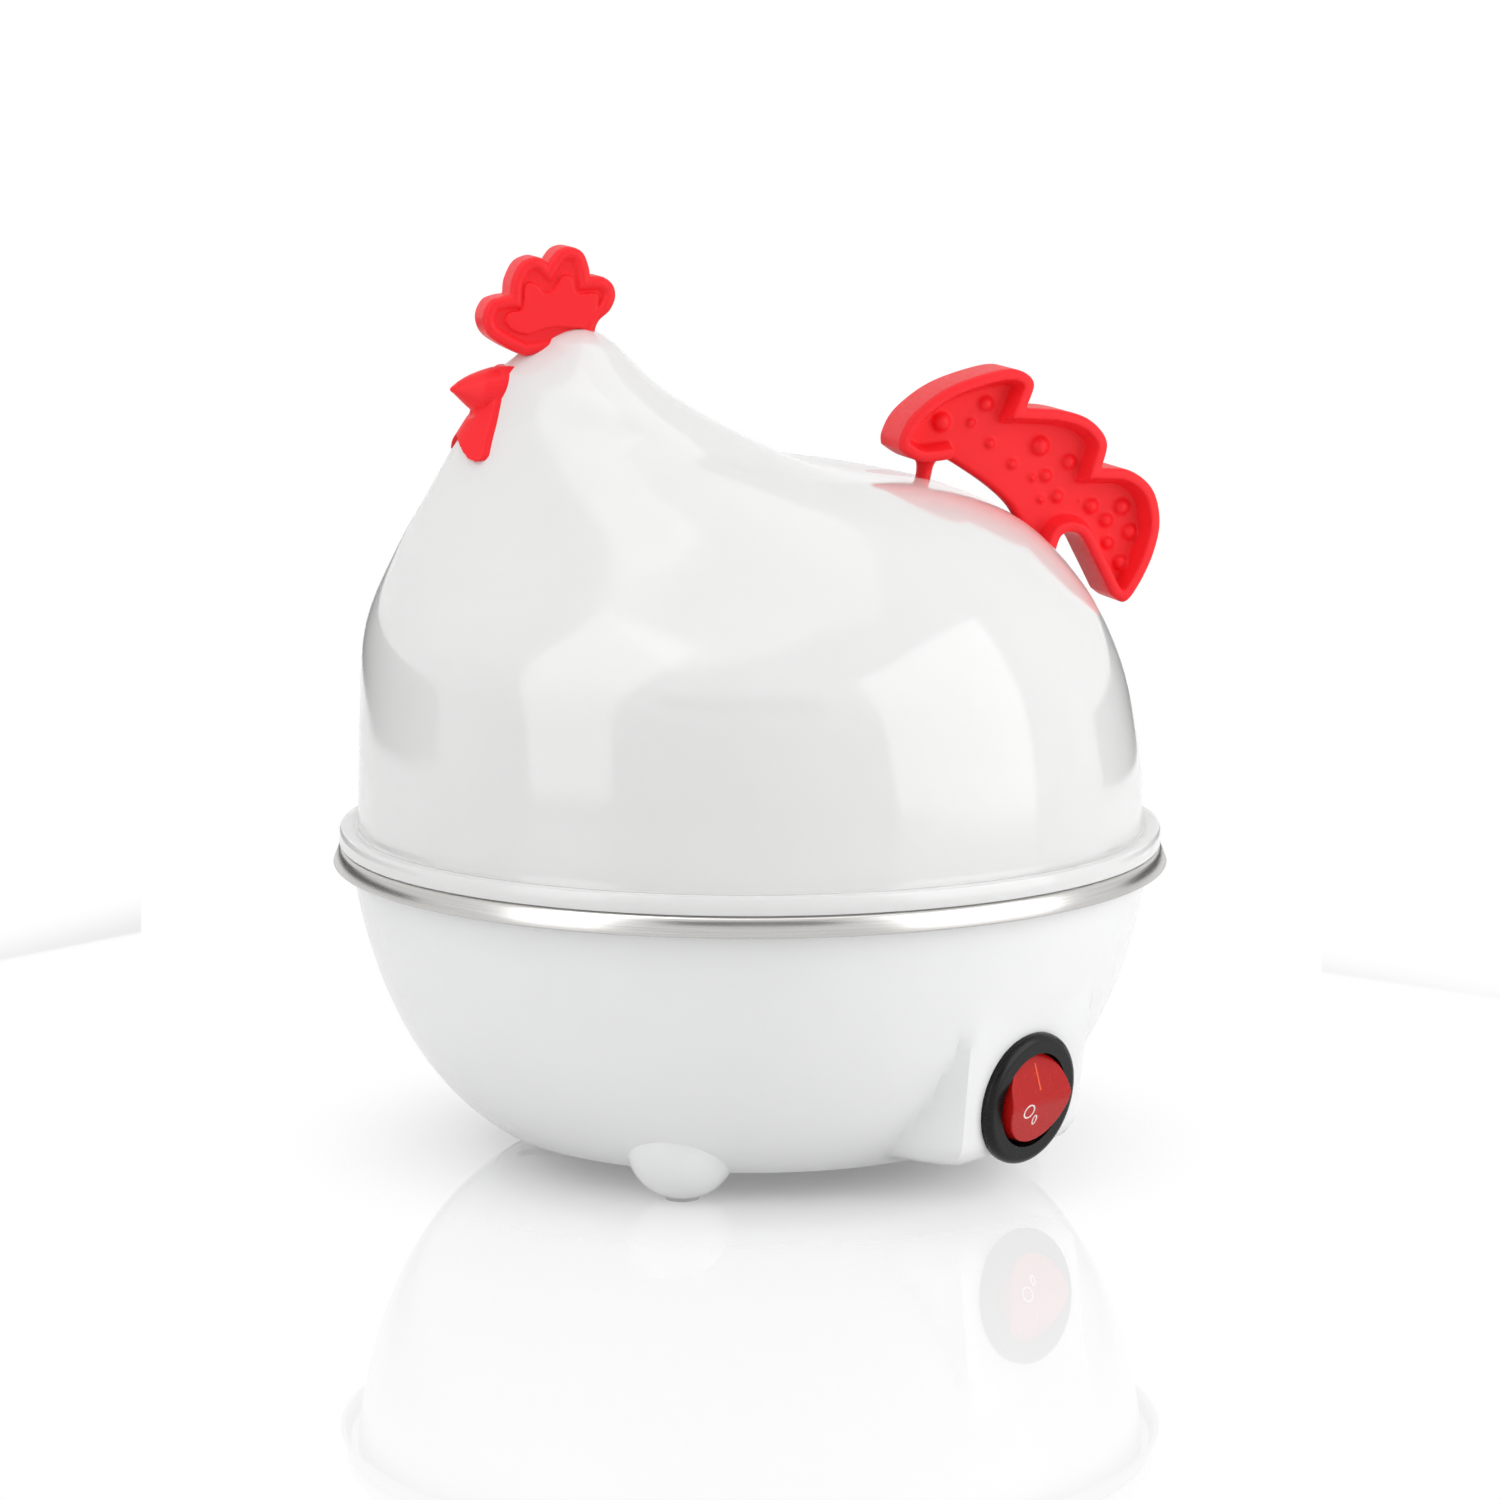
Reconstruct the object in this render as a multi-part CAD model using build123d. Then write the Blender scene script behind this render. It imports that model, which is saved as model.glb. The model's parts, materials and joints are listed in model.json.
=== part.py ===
from build123d import *
import math
import os

# Hen-shaped egg cooker, in millimetres. +Z is up and the origin is on the table, on the cooker's axis.
# The hen looks along -X, its tail points along +X and it is symmetric about the XZ plane.
# Azimuths are degrees anticlockwise from -Y seen from above: 0 is the hen's right flank, 90 is the tail.

# ---------------------------------------------------------------- driving dimensions
# base bowl
bowl_top_radius = 72.8
bowl_bottom_radius = 47.0
bowl_bottom_z = 5.0
bowl_lip_z = 54.4
bowl_wall = 2.5
bowl_curve = [(0.0, 0.0), (0.36, 0.16), (0.78, 0.53), (1.0, 1.0)]   # shares of radius gain and of height

# feet and their pads
foot_count = 3
foot_radius = 10.0
foot_circle = 46.0
foot_azimuth = -31.0
foot_clearance = 0.8          # flat underside of the foot above the table
pad_radius = 3.0
pad_recess = 0.8

# steel heating pan
sheet = 0.8
sheet_bend = 1.2              # inner radius of the pan's pressed bends
skirt_radius = 76.0
skirt_drop = 3.2
skirt_flare = 1.2
gasket_thick = 1.2
gasket_width = 2.0
pan_mouth_radius = 64.0
pan_floor_radius = 58.0
pan_depth = 14.4

# heater under the pan
plate_radius = 34.0
plate_thick = 5.0
tube_ring_radius = 26.0
tube_radius = 3.25
tube_opening = 60.0           # degrees left open between the tube's two ends
cold_pin_radius = 1.2
cold_pin_length = 9.0
thermostat_radius = 8.0
thermostat_height = 9.5
thermostat_ear = 12.0         # ear screw's distance from the axis
thermostat_ear_drop = 1.6     # upper side of the ears below the plate
thermostat_ear_width = 6.0
thermostat_ear_thick = 0.8
thermostat_blade = 5.0        # blade's distance from the axis
ear_screw_head_radius = 2.4
ear_screw_grip = 3.0          # screw inside the plate
fuse_radius = 2.0
fuse_length = 11.0
fuse_offset = 15.0
clip_sheet = 0.6
clip_width = 6.0
clip_flange = 3.0
blade_length = 7.0
blade_width = 4.8
blade_thick = 0.8
blade_pitch = 5.0

# fasteners that hold the pan in the bowl
post_azimuth = 2.0
post_circle = 41.0
post_radius = 3.5
screw_radius = 1.5
screw_head_radius = 2.8
screw_head_height = 1.8
screw_head_sink = 0.7         # screw head below the bowl's underside
screw_head_gap = 0.6
pillar_wall = 2.0             # of the bowl's screw pillars, outside the post's radius
pillar_height = 4.5
thread_depth = 10.0
thread_spare = 2.0            # hole beyond the screw's tip
running_gap = 0.1

# round rocker switch
switch_azimuth = 32.0
switch_face_radius = 65.0
switch_z = 18.0
switch_tilt = 8.3             # degrees that the face looks down
switch_hole_radius = 10.0
bezel_overhang = 2.0
bezel_height = 2.0
barrel_depth = 15.0
barrel_wall = 1.4
rocker_gap = 0.25
rocker_swing_gap = 0.35       # the rocker's round sides inside its square ends
rocker_throw = 14.0           # degrees between the two pressed positions
rocker_ridge = 4.2            # ridge above the boss face
rocker_slope = 20.0           # degrees that each half falls away from the ridge
rocker_pocket = 9.0
rocker_ridge_round = 4.0
rocker_side = 3.2             # height of the rocker's end walls
rocker_belly = 2.4            # rocker below its pivot
rocker_pivot_z = -2.0
pivot_radius = 1.5
pivot_fit = 0.06
lamp_radius = 1.6
lamp_height = 1.8
bezel_edge = 0.6              # straight edge left under the bezel's rounding
boss_half_width = 18.5
boss_below = 13.6
boss_above = 33.0
boss_round = 5.0
boss_corner = 8.0
boss_depth = 30.0

# cord gland
gland_azimuth = 152.0
gland_z = 24.0
gland_bore = 3.2
gland_barrel_radius = 5.0
gland_flange_radius = 6.8
gland_length = 14.0
gland_flange = 2.2
gland_nut = 3.0
gland_sink = 0.4              # flange seat inside the bowl's outer face

# egg rack
rack_radius = 68.4
rack_thick = 2.0
egg_hole_radius = 18.0
egg_circle = 44.0
egg_ring_count = 6
steam_hole_radius = 2.5
steam_circle = 26.0
rack_skirt_gap = 0.4
rack_skirt_depth = 4.0
rack_skirt_wall = 1.6
lug_height = 16.0
lug_round = 6.0
lug_width = 16.0
lug_thick = 3.0
lug_circle = 62.0

# lid
lid_radius = 71.5
lid_wall = 2.0
lid_foot = 3.4                # height of the flat flange at the lid's foot
flange_radius = 74.9
lid_height = 91.0             # flange to crown

# Each hen section is a tilted ellipse. Its ends lie on the breast line and on the back line.
# (breast x, breast z, back x, back z, half width), as shares of lid_radius and lid_height.
hen_sections = [
    (-1.000, 0.000, 1.000, 0.000, 1.000),
    (-0.990, 0.220, 0.980, 0.190, 0.995),
    (-0.970, 0.410, 0.935, 0.330, 0.965),
    (-0.880, 0.570, 0.850, 0.465, 0.880),
    (-0.790, 0.690, 0.700, 0.595, 0.750),
    (-0.745, 0.765, 0.475, 0.675, 0.590),
    (-0.700, 0.840, 0.210, 0.710, 0.450),
    (-0.655, 0.905, -0.040, 0.780, 0.345),
    (-0.588, 0.952, -0.235, 0.875, 0.240),
    (-0.490, 0.988, -0.385, 0.968, 0.110),
]

# comb: lobes are (x, z, radius) from the crown point
comb_thick = 7.0
comb_crown = (-0.470, 0.970)  # the crown point, as shares of lid_radius and lid_height
comb_lobes = [(-13.0, 4.3, 3.2), (-7.4, 10.6, 3.8), (-0.5, 12.2, 3.9), (5.0, 7.7, 2.9)]
comb_plate = [(-5.0, -6.0), (-8.4, -1.8), (-13.4, 1.2), (-8.0, 10.6), (0.0, 12.0), (6.0, 5.0),
              (5.0, 1.0), (4.0, -6.0)]
comb_panel = [(-10.0, 1.8), (-7.4, 9.0), (0.0, 11.0), (4.0, 7.0), (2.0, 2.8)]
comb_rim = 1.6
comb_panel_share = 0.93       # the panel's lobes sit this share of the way out
comb_recess = 0.7
peg_radius = 2.5
peg_length = 5.0              # comb peg below the crown point
peg_root = 4.0                # peg inside the comb or the beak

# beak and wattles: (x, z) from the beak's root on the breast line
beak_root = (-0.675, 0.880)   # shares of lid_radius and lid_height
beak_side = [(4.0, 3.4), (-2.0, 2.6), (-6.9, 0.2), (-2.6, -4.6), (4.0, -6.0)]
beak_half_width = 5.0
beak_tip_half_width = 1.2
beak_peg_slope = 25.0         # degrees that the beak's peg climbs outwards
beak_peg_length = 4.5
wattle_side = [(4.0, -2.0), (-2.0, -3.0), (-5.0, -9.0), (3.0, -9.0)]
wattle_centre = (-1.0, -9.0)
wattle_radius = 4.0
wattle_half_width = 7.0

# tail handle
tail_root = (0.462, 0.676)    # front post's foot on the back line
tail_heel_root = (0.775, 0.530)
tail_thick = 13.0
tail_rim = 1.6
tail_web = 4.0
tail_post_radius = 2.4
tail_post_rise = 5.5          # foot's core above the back
tail_leans = (12.0, 45.0)     # degrees that the front post and the heel lean back
tail_screw_radius = 1.2
tail_screw_length = 10.0
strip_thick = 2.4
strip_width = 9.0
strip_overhang = 8.0          # strip beyond each screw
strip_fit = 0.2               # between the strip and the lid's inner wall

# wiring
wire_radius = 1.1
wire_bend = 4.0
wire_height = 6.0             # leads above the bowl's floor
wire_exit = 8.0               # straight run out of a blade

# ---------------------------------------------------------------- derived places
beyond = 1.0                  # how far cutters run past the faces they cut
rocker_window = switch_hole_radius - barrel_wall
rocker_radius = rocker_window - rocker_gap
pin_reach = (rocker_window + switch_hole_radius) / 2
seat_z = bowl_lip_z + gasket_thick + sheet          # flat top of the pan's rim
pan_floor_z = seat_z - pan_depth                    # wet side of the pan's floor
plate_top_z = pan_floor_z - sheet
plate_bottom_z = plate_top_z - plate_thick
tube_z = plate_bottom_z - tube_radius
thermostat_blade_z = plate_bottom_z - thermostat_height - blade_length
ear_bottom_z = plate_bottom_z - thermostat_ear_drop - thermostat_ear_thick
bowl_floor_z = bowl_bottom_z + bowl_wall
wire_z = bowl_floor_z + wire_height
post_foot_z = bowl_floor_z + pillar_height
screw_seat_z = bowl_bottom_z + screw_head_height + screw_head_sink
lid_foot_z = seat_z + lid_foot
beak_x = beak_root[0] * lid_radius
beak_z = lid_foot_z + beak_root[1] * lid_height


def heading(azimuth):
    """Unit vector on the table plane for an azimuth."""
    return Vector(math.sin(math.radians(azimuth)), -math.cos(math.radians(azimuth)), 0)


def around(count, first):
    """Azimuths of equally spaced things, starting at first."""
    return [first + 360.0 * i / count for i in range(count)]


def rod(start, end, radius):
    """Round bar between two points."""
    start = Vector(*start)
    end = Vector(*end)
    return extrude(Plane(origin=start, z_dir=end - start) * Circle(radius), (end - start).length)


def disc(radius, bottom, top, x=0.0, y=0.0):
    """Upright round bar between two heights."""
    return Pos(x, y, bottom) * extrude(Circle(radius), top - bottom)


def moved_sideways(before, point, after, distance):
    """A point moved square to the run from before to after, to the right of travel."""
    run = math.dist(before, after)
    return (point[0] + (after[1] - before[1]) / run * distance,
            point[1] - (after[0] - before[0]) / run * distance)


def inset_line(points, distance):
    """An open line of points moved sideways."""
    last = len(points) - 1
    return [moved_sideways(points[max(i - 1, 0)], points[i], points[min(i + 1, last)], distance)
            for i in range(len(points))]


def inset_loop(points, distance):
    """A closed, clockwise loop of points moved inwards."""
    return [moved_sideways(points[i - 1], points[i], points[(i + 1) % len(points)], distance)
            for i in range(len(points))]


# ---------------------------------------------------------------- base bowl
bowl_line = [(bowl_bottom_radius + gain * (bowl_top_radius - bowl_bottom_radius),
              bowl_bottom_z + climb * (bowl_lip_z - bowl_bottom_z)) for gain, climb in bowl_curve]


def bowl_solid(inset):
    """Bowl filled in up to its lip, with its wall moved inwards by inset."""
    wall = inset_line(bowl_line, -inset)
    floor_z = bowl_bottom_z + inset
    wall[0] = (wall[0][0], floor_z)
    wall[-1] = (bowl_top_radius - inset, bowl_lip_z)
    outline = Spline(*wall) + Polyline(wall[-1], (0, bowl_lip_z), (0, floor_z), wall[0])
    return revolve(make_face(Plane.XZ * outline), Axis.Z)


def bowl_share_at(z):
    """How far along the bowl's outer line a height is reached, by halving."""
    line = Spline(*bowl_line)
    low = 0.0
    high = 1.0
    for _ in range(30):
        middle = (low + high) / 2
        if line.position_at(middle).Y < z:
            low = middle
        else:
            high = middle
    return line, low


switch_normal = heading(switch_azimuth) * math.cos(math.radians(switch_tilt)) \
    + Vector(0, 0, -math.sin(math.radians(switch_tilt)))
switch_across = heading(switch_azimuth + 90)
switch_centre = heading(switch_azimuth) * switch_face_radius + Vector(0, 0, switch_z)
switch_plane = Plane(origin=switch_centre, x_dir=switch_across, z_dir=switch_normal)


def switch_boss(inset):
    """The block that carries the switch, moved inwards by inset on every side."""
    width = 2 * (boss_half_width - inset)
    low = -boss_below + inset
    high = boss_above - inset
    face = RectangleRounded(width, high - low, boss_corner - inset)
    block = extrude(Pos(0, (low + high) / 2) * face, -boss_depth)
    front = block.faces().sort_by(Axis.Z)[-1]
    block = fillet(front.edges(), boss_round - inset)
    return switch_plane * (Pos(0, 0, -inset) * block)


def foot_centre(azimuth):
    return heading(azimuth) * foot_circle + Vector(0, 0, foot_radius)


def foot(azimuth):
    """Ball-shaped nub with a flat, recessed underside for its pad."""
    centre = foot_centre(azimuth)
    ball = Pos(*centre) * Sphere(foot_radius)
    ball -= disc(2 * foot_radius, -2 * foot_radius, foot_clearance, centre.X, centre.Y)
    ball -= disc(pad_radius, 0, foot_clearance + pad_recess, centre.X, centre.Y)
    return ball


def post_place(azimuth):
    return heading(azimuth) * post_circle


gland_line, gland_share = bowl_share_at(gland_z)
gland_out = heading(gland_azimuth)
gland_spot = gland_line.position_at(gland_share)
gland_climb = gland_line.tangent_at(gland_share)
gland_axis = gland_out * gland_climb.Y - Vector(0, 0, gland_climb.X)
gland_seat = gland_out * gland_spot.X + Vector(0, 0, gland_z) - gland_axis * gland_sink
gland_plane = Plane(origin=gland_seat, z_dir=gland_axis)
nut_seat = bowl_wall - gland_sink


def base_housing():
    """White bowl with its three feet, the switch boss and the screw pillars."""
    body = bowl_solid(0) + switch_boss(0)
    for azimuth in around(foot_count, foot_azimuth):
        body += foot(azimuth)
    body -= bowl_solid(bowl_wall) + switch_boss(bowl_wall)
    body -= disc(2 * bowl_top_radius, bowl_lip_z, bowl_lip_z + boss_above)
    for azimuth in around(foot_count, post_azimuth):
        place = post_place(azimuth)
        body += disc(post_radius + pillar_wall, bowl_floor_z - bowl_wall / 2, post_foot_z, place.X, place.Y)
        body -= disc(screw_radius + running_gap, 0, post_foot_z, place.X, place.Y)
        body -= disc(screw_head_radius + screw_head_gap, 0, screw_seat_z, place.X, place.Y)
    body -= switch_plane * extrude(Circle(switch_hole_radius + running_gap), 2 * bowl_wall, both=True)
    body -= gland_plane * extrude(Circle(gland_barrel_radius + running_gap), gland_length, both=True)
    body -= gland_plane * extrude(Circle(gland_flange_radius + running_gap), gland_length)
    body -= gland_plane * Pos(0, 0, -nut_seat) * extrude(Circle(gland_flange_radius + running_gap), -gland_nut)
    return body


def foot_pads():
    """Anti-slip pads, one under each foot."""
    pads = []
    for azimuth in around(foot_count, foot_azimuth):
        centre = foot_centre(azimuth)
        pads.append(disc(pad_radius, 0, foot_clearance + pad_recess, centre.X, centre.Y))
    return Compound(children=pads)


# ---------------------------------------------------------------- pan and heater
def heating_pan():
    """Pressed steel dish: its rim turns down over the bowl's lip."""
    skirt_top = skirt_radius - skirt_flare
    line = FilletPolyline((skirt_radius, seat_z - skirt_drop), (skirt_top, seat_z),
                          (pan_mouth_radius, seat_z), (pan_floor_radius, pan_floor_z), (0, pan_floor_z),
                          radius=sheet_bend)
    outline = make_face(offset(line, sheet, side=Side.LEFT))
    return revolve(Plane.XZ * outline, Axis.Z)


def pan_gasket():
    outer = bowl_top_radius
    inner = outer - gasket_width
    return disc(outer, bowl_lip_z, bowl_lip_z + gasket_thick) \
        - disc(inner, bowl_lip_z - beyond, bowl_lip_z + gasket_thick + beyond)


def heater_plate():
    """Cast disc under the pan's floor, drilled for the thermostat's two screws."""
    body = disc(plate_radius, plate_bottom_z, plate_top_z)
    for side in (-1, 1):
        body -= disc(screw_radius + running_gap, plate_bottom_z - beyond, plate_bottom_z + ear_screw_grip + 0.5,
                     side * thermostat_ear)
    return body


tube_first = switch_azimuth + 180 + tube_opening / 2
tube_last = tube_first + 360 - tube_opening


def tube_end(azimuth):
    return heading(azimuth) * tube_ring_radius + Vector(0, 0, tube_z)


def heater_tube():
    """Tubular heater bent to a ring, open towards the gland."""
    ring = Plane(origin=(tube_ring_radius, 0, 0), z_dir=(0, 1, 0)) * Circle(tube_radius)
    body = revolve(ring, Axis.Z, 360 - tube_opening)
    return Pos(0, 0, tube_z) * Rot(0, 0, tube_first - 90) * body


def heater_pin_foot(index):
    """Lower end of one of the heater's cold pins."""
    azimuth = (tube_first, tube_last)[index]
    side = (-1, 1)[index]
    spot = tube_end(azimuth) + heading(azimuth + 90) * side * cold_pin_radius
    return Vector(spot.X, spot.Y, tube_z - cold_pin_length)


def heater_pins():
    """Cold pins that stand down from the heater's two ends."""
    pins = []
    for index in (0, 1):
        foot_point = heater_pin_foot(index)
        pins.append(disc(cold_pin_radius, foot_point.Z, tube_z + cold_pin_radius, foot_point.X, foot_point.Y))
    return Compound(children=pins)


def thermostat():
    """Snap-disc thermostat: cap on the plate, two ears, body and two blades."""
    body = disc(thermostat_radius, plate_bottom_z - thermostat_height, plate_bottom_z)
    body += Pos(0, 0, ear_bottom_z + thermostat_ear_thick / 2) \
        * Box(2 * thermostat_ear + thermostat_ear_width, thermostat_ear_width, thermostat_ear_thick)
    blade = Box(blade_width, blade_thick, blade_length + beyond, align=(Align.CENTER, Align.CENTER, Align.MIN))
    for side in (-1, 1):
        body -= disc(screw_radius + running_gap, ear_bottom_z - beyond, plate_bottom_z, side * thermostat_ear)
        body += Pos(0, side * thermostat_blade, thermostat_blade_z) * blade
    return body


def thermostat_screws():
    """Two pan-head screws from below through the ears into the plate."""
    screws = []
    for side in (-1, 1):
        x = side * thermostat_ear
        screws.append(disc(screw_radius, ear_bottom_z - running_gap, plate_bottom_z + ear_screw_grip, x)
                      + disc(ear_screw_head_radius, ear_bottom_z - screw_head_height, ear_bottom_z, x))
    return Compound(children=screws)


fuse_along = heading(switch_azimuth + 240)
fuse_spot = heading(switch_azimuth + 150) * fuse_offset + Vector(0, 0, plate_bottom_z - fuse_radius - clip_sheet)


def thermal_fuse():
    """Thermal cut-out lying under the plate."""
    half = fuse_along * (fuse_length / 2)
    return rod(fuse_spot - half, fuse_spot + half, fuse_radius)


def fuse_clip():
    """Spring saddle that holds the cut-out against the plate."""
    frame = Plane(origin=fuse_spot - fuse_along * (clip_width / 2),
                  x_dir=fuse_along.cross(Vector(0, 0, 1)), z_dir=fuse_along)
    up = plate_bottom_z - fuse_spot.Z
    outer = fuse_radius + clip_sheet
    saddle = Circle(outer) + Pos(0, up / 2) * Rectangle(2 * outer, up)
    saddle -= Circle(fuse_radius) + Pos(0, up / 2) * Rectangle(2 * fuse_radius, up)
    saddle += Pos(0, up - clip_sheet / 2) * Rectangle(2 * (fuse_radius + clip_flange), clip_sheet)
    return extrude(frame * saddle, clip_width)


# ---------------------------------------------------------------- fasteners of the pan
def pan_posts():
    """Threaded steel pillars welded under the pan's floor."""
    posts = []
    for azimuth in around(foot_count, post_azimuth):
        place = post_place(azimuth)
        post = disc(post_radius, post_foot_z, plate_top_z, place.X, place.Y)
        posts.append(post - disc(screw_radius + running_gap / 2, post_foot_z,
                                 post_foot_z + thread_depth + thread_spare, place.X, place.Y))
    return Compound(children=posts)


def base_screws():
    """Three screws driven up through the bowl's floor into the pillars."""
    screws = []
    head_z = screw_seat_z - screw_head_height
    for azimuth in around(foot_count, post_azimuth):
        place = post_place(azimuth)
        screws.append(disc(screw_radius, head_z, post_foot_z + thread_depth, place.X, place.Y)
                      + disc(screw_head_radius, head_z, screw_seat_z, place.X, place.Y))
    return Compound(children=screws)


# ---------------------------------------------------------------- switch and gland
def switch_frame():
    """Black bezel and barrel with a pocket for the rocker."""
    bezel = extrude(Circle(switch_hole_radius + bezel_overhang), bezel_height)
    bezel = fillet(bezel.edges().sort_by(Axis.Z)[-1], bezel_height - bezel_edge)
    barrel = Pos(0, 0, -barrel_depth) * extrude(Circle(switch_hole_radius), barrel_depth)
    body = bezel + barrel
    body -= Pos(0, 0, -rocker_pocket) * extrude(Circle(rocker_window), rocker_pocket + bezel_height)
    body -= rocker_pin(pivot_radius + pivot_fit, pin_reach + rocker_gap)
    return switch_plane * body


def rocker_pin(radius, reach):
    """Bar along the rocker's pivot, in the switch's own frame."""
    return extrude(Plane(origin=(0, 0, rocker_pivot_z), z_dir=(1, 0, 0)) * Circle(radius), reach, both=True)


def rocker_outline():
    """Side view of the rocker across its pivot, standing even: a ridge with two falling halves."""
    end_top = rocker_ridge - math.tan(math.radians(rocker_slope)) * rocker_radius
    outline = make_face(Polyline((0, rocker_ridge), (-rocker_radius, end_top),
                                 (-rocker_radius, end_top - rocker_side), (0, rocker_pivot_z - rocker_belly),
                                 (rocker_radius, end_top - rocker_side), (rocker_radius, end_top), close=True))
    return fillet(outline.vertices().sort_by(Axis.Y)[-1], rocker_ridge_round)


def switch_rocker():
    """Red rocker, stored with its upper half pressed in."""
    prism = extrude(Plane.YZ * rocker_outline(), rocker_radius, both=True)
    body = prism & extrude(Circle(rocker_radius - rocker_swing_gap), 2 * barrel_depth, both=True)
    body += rocker_pin(pivot_radius, pin_reach)
    turned = Pos(0, 0, rocker_pivot_z) * Rot(-rocker_throw / 2, 0, 0) * Pos(0, 0, -rocker_pivot_z) * body
    return switch_plane * turned


def switch_terminals():
    """Three brass blades behind the switch."""
    blades = [Pos(0, y, -barrel_depth - blade_length / 2) * Box(blade_width, blade_thick, blade_length)
              for y in (-blade_pitch, 0, blade_pitch)]
    return Compound(children=[switch_plane * blade for blade in blades])


def neon_lamp():
    """Indicator lamp on the floor of the rocker's pocket."""
    return switch_plane * (Pos(0, 0, -rocker_pocket) * extrude(Circle(lamp_radius), lamp_height))


def cord_gland():
    """Bushing where the mains cord leaves: outer flange, barrel and bore."""
    body = extrude(Circle(gland_flange_radius), gland_flange)
    body += extrude(Circle(gland_barrel_radius), -(gland_length - gland_flange))
    body -= extrude(Circle(gland_bore), 2 * gland_length, both=True)
    return gland_plane * body


def gland_nut_ring():
    """Nut on the gland's barrel inside the bowl."""
    ring = RegularPolygon(gland_flange_radius, 6) - Circle(gland_barrel_radius + running_gap / 2)
    return gland_plane * Pos(0, 0, -nut_seat) * extrude(ring, -gland_nut)


# ---------------------------------------------------------------- wiring
def wire(points):
    """Insulated lead along straight runs joined by arcs."""
    line = FilletPolyline(*points, radius=wire_bend)
    return sweep(Plane(origin=line @ 0, z_dir=line % 0) * Circle(wire_radius), path=line)


def lead_switch():
    """Lead from the switch's middle blade to the thermostat's front blade."""
    start = switch_plane.from_local_coords(Vector(0, 0, -barrel_depth - blade_length))
    end = Vector(0, -thermostat_blade, thermostat_blade_z)
    under = Vector(0, 0, wire_z - end.Z)
    halfway = (start + end) / 2
    beside = Vector(halfway.X, halfway.Y, wire_z) + heading(switch_azimuth - 90) * wire_bend
    return wire([start, start - switch_normal * wire_exit, beside, end + under, end])


def lead_heater():
    """Lead from the thermostat's rear blade to the heater's first pin."""
    start = Vector(0, thermostat_blade, thermostat_blade_z)
    end = heater_pin_foot(0)
    low = Vector(start.X, start.Y, wire_z)
    turn = Vector(end.X, end.Y, wire_z)
    return wire([start, low, (low + turn) / 2 + Vector(0, wire_bend, 0), turn, end])


def lead_fuse():
    """Lead from the heater's second pin to the thermal cut-out."""
    start = heater_pin_foot(1)
    end = fuse_spot + fuse_along * (fuse_length / 2)
    back = end + fuse_along * wire_exit
    return wire([start, Vector(start.X, start.Y, wire_z), Vector(back.X, back.Y, wire_z), back, end])


# ---------------------------------------------------------------- egg rack
def egg_rack():
    """Seven-hole egg rack with a locating skirt and two lifting lugs."""
    top = seat_z + rack_thick
    body = disc(rack_radius, seat_z, top)
    taper = (pan_mouth_radius - pan_floor_radius) / pan_depth
    skirt_outer = pan_mouth_radius - taper * rack_skirt_depth - rack_skirt_gap
    skirt_bottom = seat_z - rack_skirt_depth
    body += disc(skirt_outer, skirt_bottom, seat_z) - disc(skirt_outer - rack_skirt_wall, skirt_bottom, seat_z)
    for side in (-1, 1):
        tab = Pos(0, side * lug_circle, seat_z + lug_height / 2) * Box(lug_width, lug_thick, lug_height)
        body += fillet(tab.edges().filter_by(Axis.Y).group_by(Axis.Z)[-1], lug_round)
    body -= disc(egg_hole_radius, skirt_bottom, top + beyond)
    for azimuth in around(egg_ring_count, 180 / egg_ring_count):
        spot = heading(azimuth) * egg_circle
        body -= disc(egg_hole_radius, skirt_bottom, top + beyond, spot.X, spot.Y)
    for azimuth in around(egg_ring_count, 0):
        spot = heading(azimuth) * steam_circle
        body -= disc(steam_hole_radius, skirt_bottom, top + beyond, spot.X, spot.Y)
    return body


# ---------------------------------------------------------------- lid
def hen_point(share):
    """A point of the hen's centre plane from its shares of lid radius and lid height."""
    return (share[0] * lid_radius, lid_foot_z + share[1] * lid_height)


def hen_lines(inset):
    """Breast line, back line and half widths, moved inwards by inset."""
    breast = inset_line([hen_point((s[0], s[1])) for s in hen_sections], inset)
    back = inset_line([hen_point((s[2], s[3])) for s in hen_sections], -inset)
    breast[0] = (-lid_radius + inset, lid_foot_z)
    back[0] = (lid_radius - inset, lid_foot_z)
    widths = []
    for i, section in enumerate(hen_sections):
        before = hen_sections[max(i - 1, 0)]
        after = hen_sections[min(i + 1, len(hen_sections) - 1)]
        narrowing = (before[4] - after[4]) * lid_radius
        climb = (after[1] + after[3] - before[1] - before[3]) / 2 * lid_height
        widths.append(section[4] * lid_radius - inset * math.hypot(1, narrowing / climb))
    widths[0] = lid_radius - inset
    return breast, back, widths


def hen_solid(inset, sections):
    """Hen body filled in, lofted through the tilted ellipses."""
    breast, back, widths = hen_lines(inset)
    faces = []
    for low, high, width in list(zip(breast, back, widths))[:sections]:
        across = high[0] - low[0]
        rise = high[1] - low[1]
        plane = Plane(origin=((low[0] + high[0]) / 2, 0, (low[1] + high[1]) / 2),
                      x_dir=(across, 0, rise), z_dir=(-rise, 0, across))
        faces.append(plane * Ellipse(math.hypot(across, rise) / 2, width))
    return loft(faces)


def line_height(line, x):
    """Height of an open line of (x, z) points at x."""
    points = sorted(line)
    for (x0, z0), (x1, z1) in zip(points, points[1:]):
        if x0 <= x <= x1:
            return z0 + (z1 - z0) * (x - x0) / (x1 - x0)
    return points[-1][1]


hen_outer = hen_solid(0, len(hen_sections))
crown = hen_point(comb_crown)
tail_foot = hen_point(tail_root)
tail_heel = hen_point(tail_heel_root)


def side_sketch(points, foot):
    """Face of a side view drawn from a foot point."""
    return make_face(Polyline(*[(foot[0] + x, foot[1] + z) for x, z in points], close=True))


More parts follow.
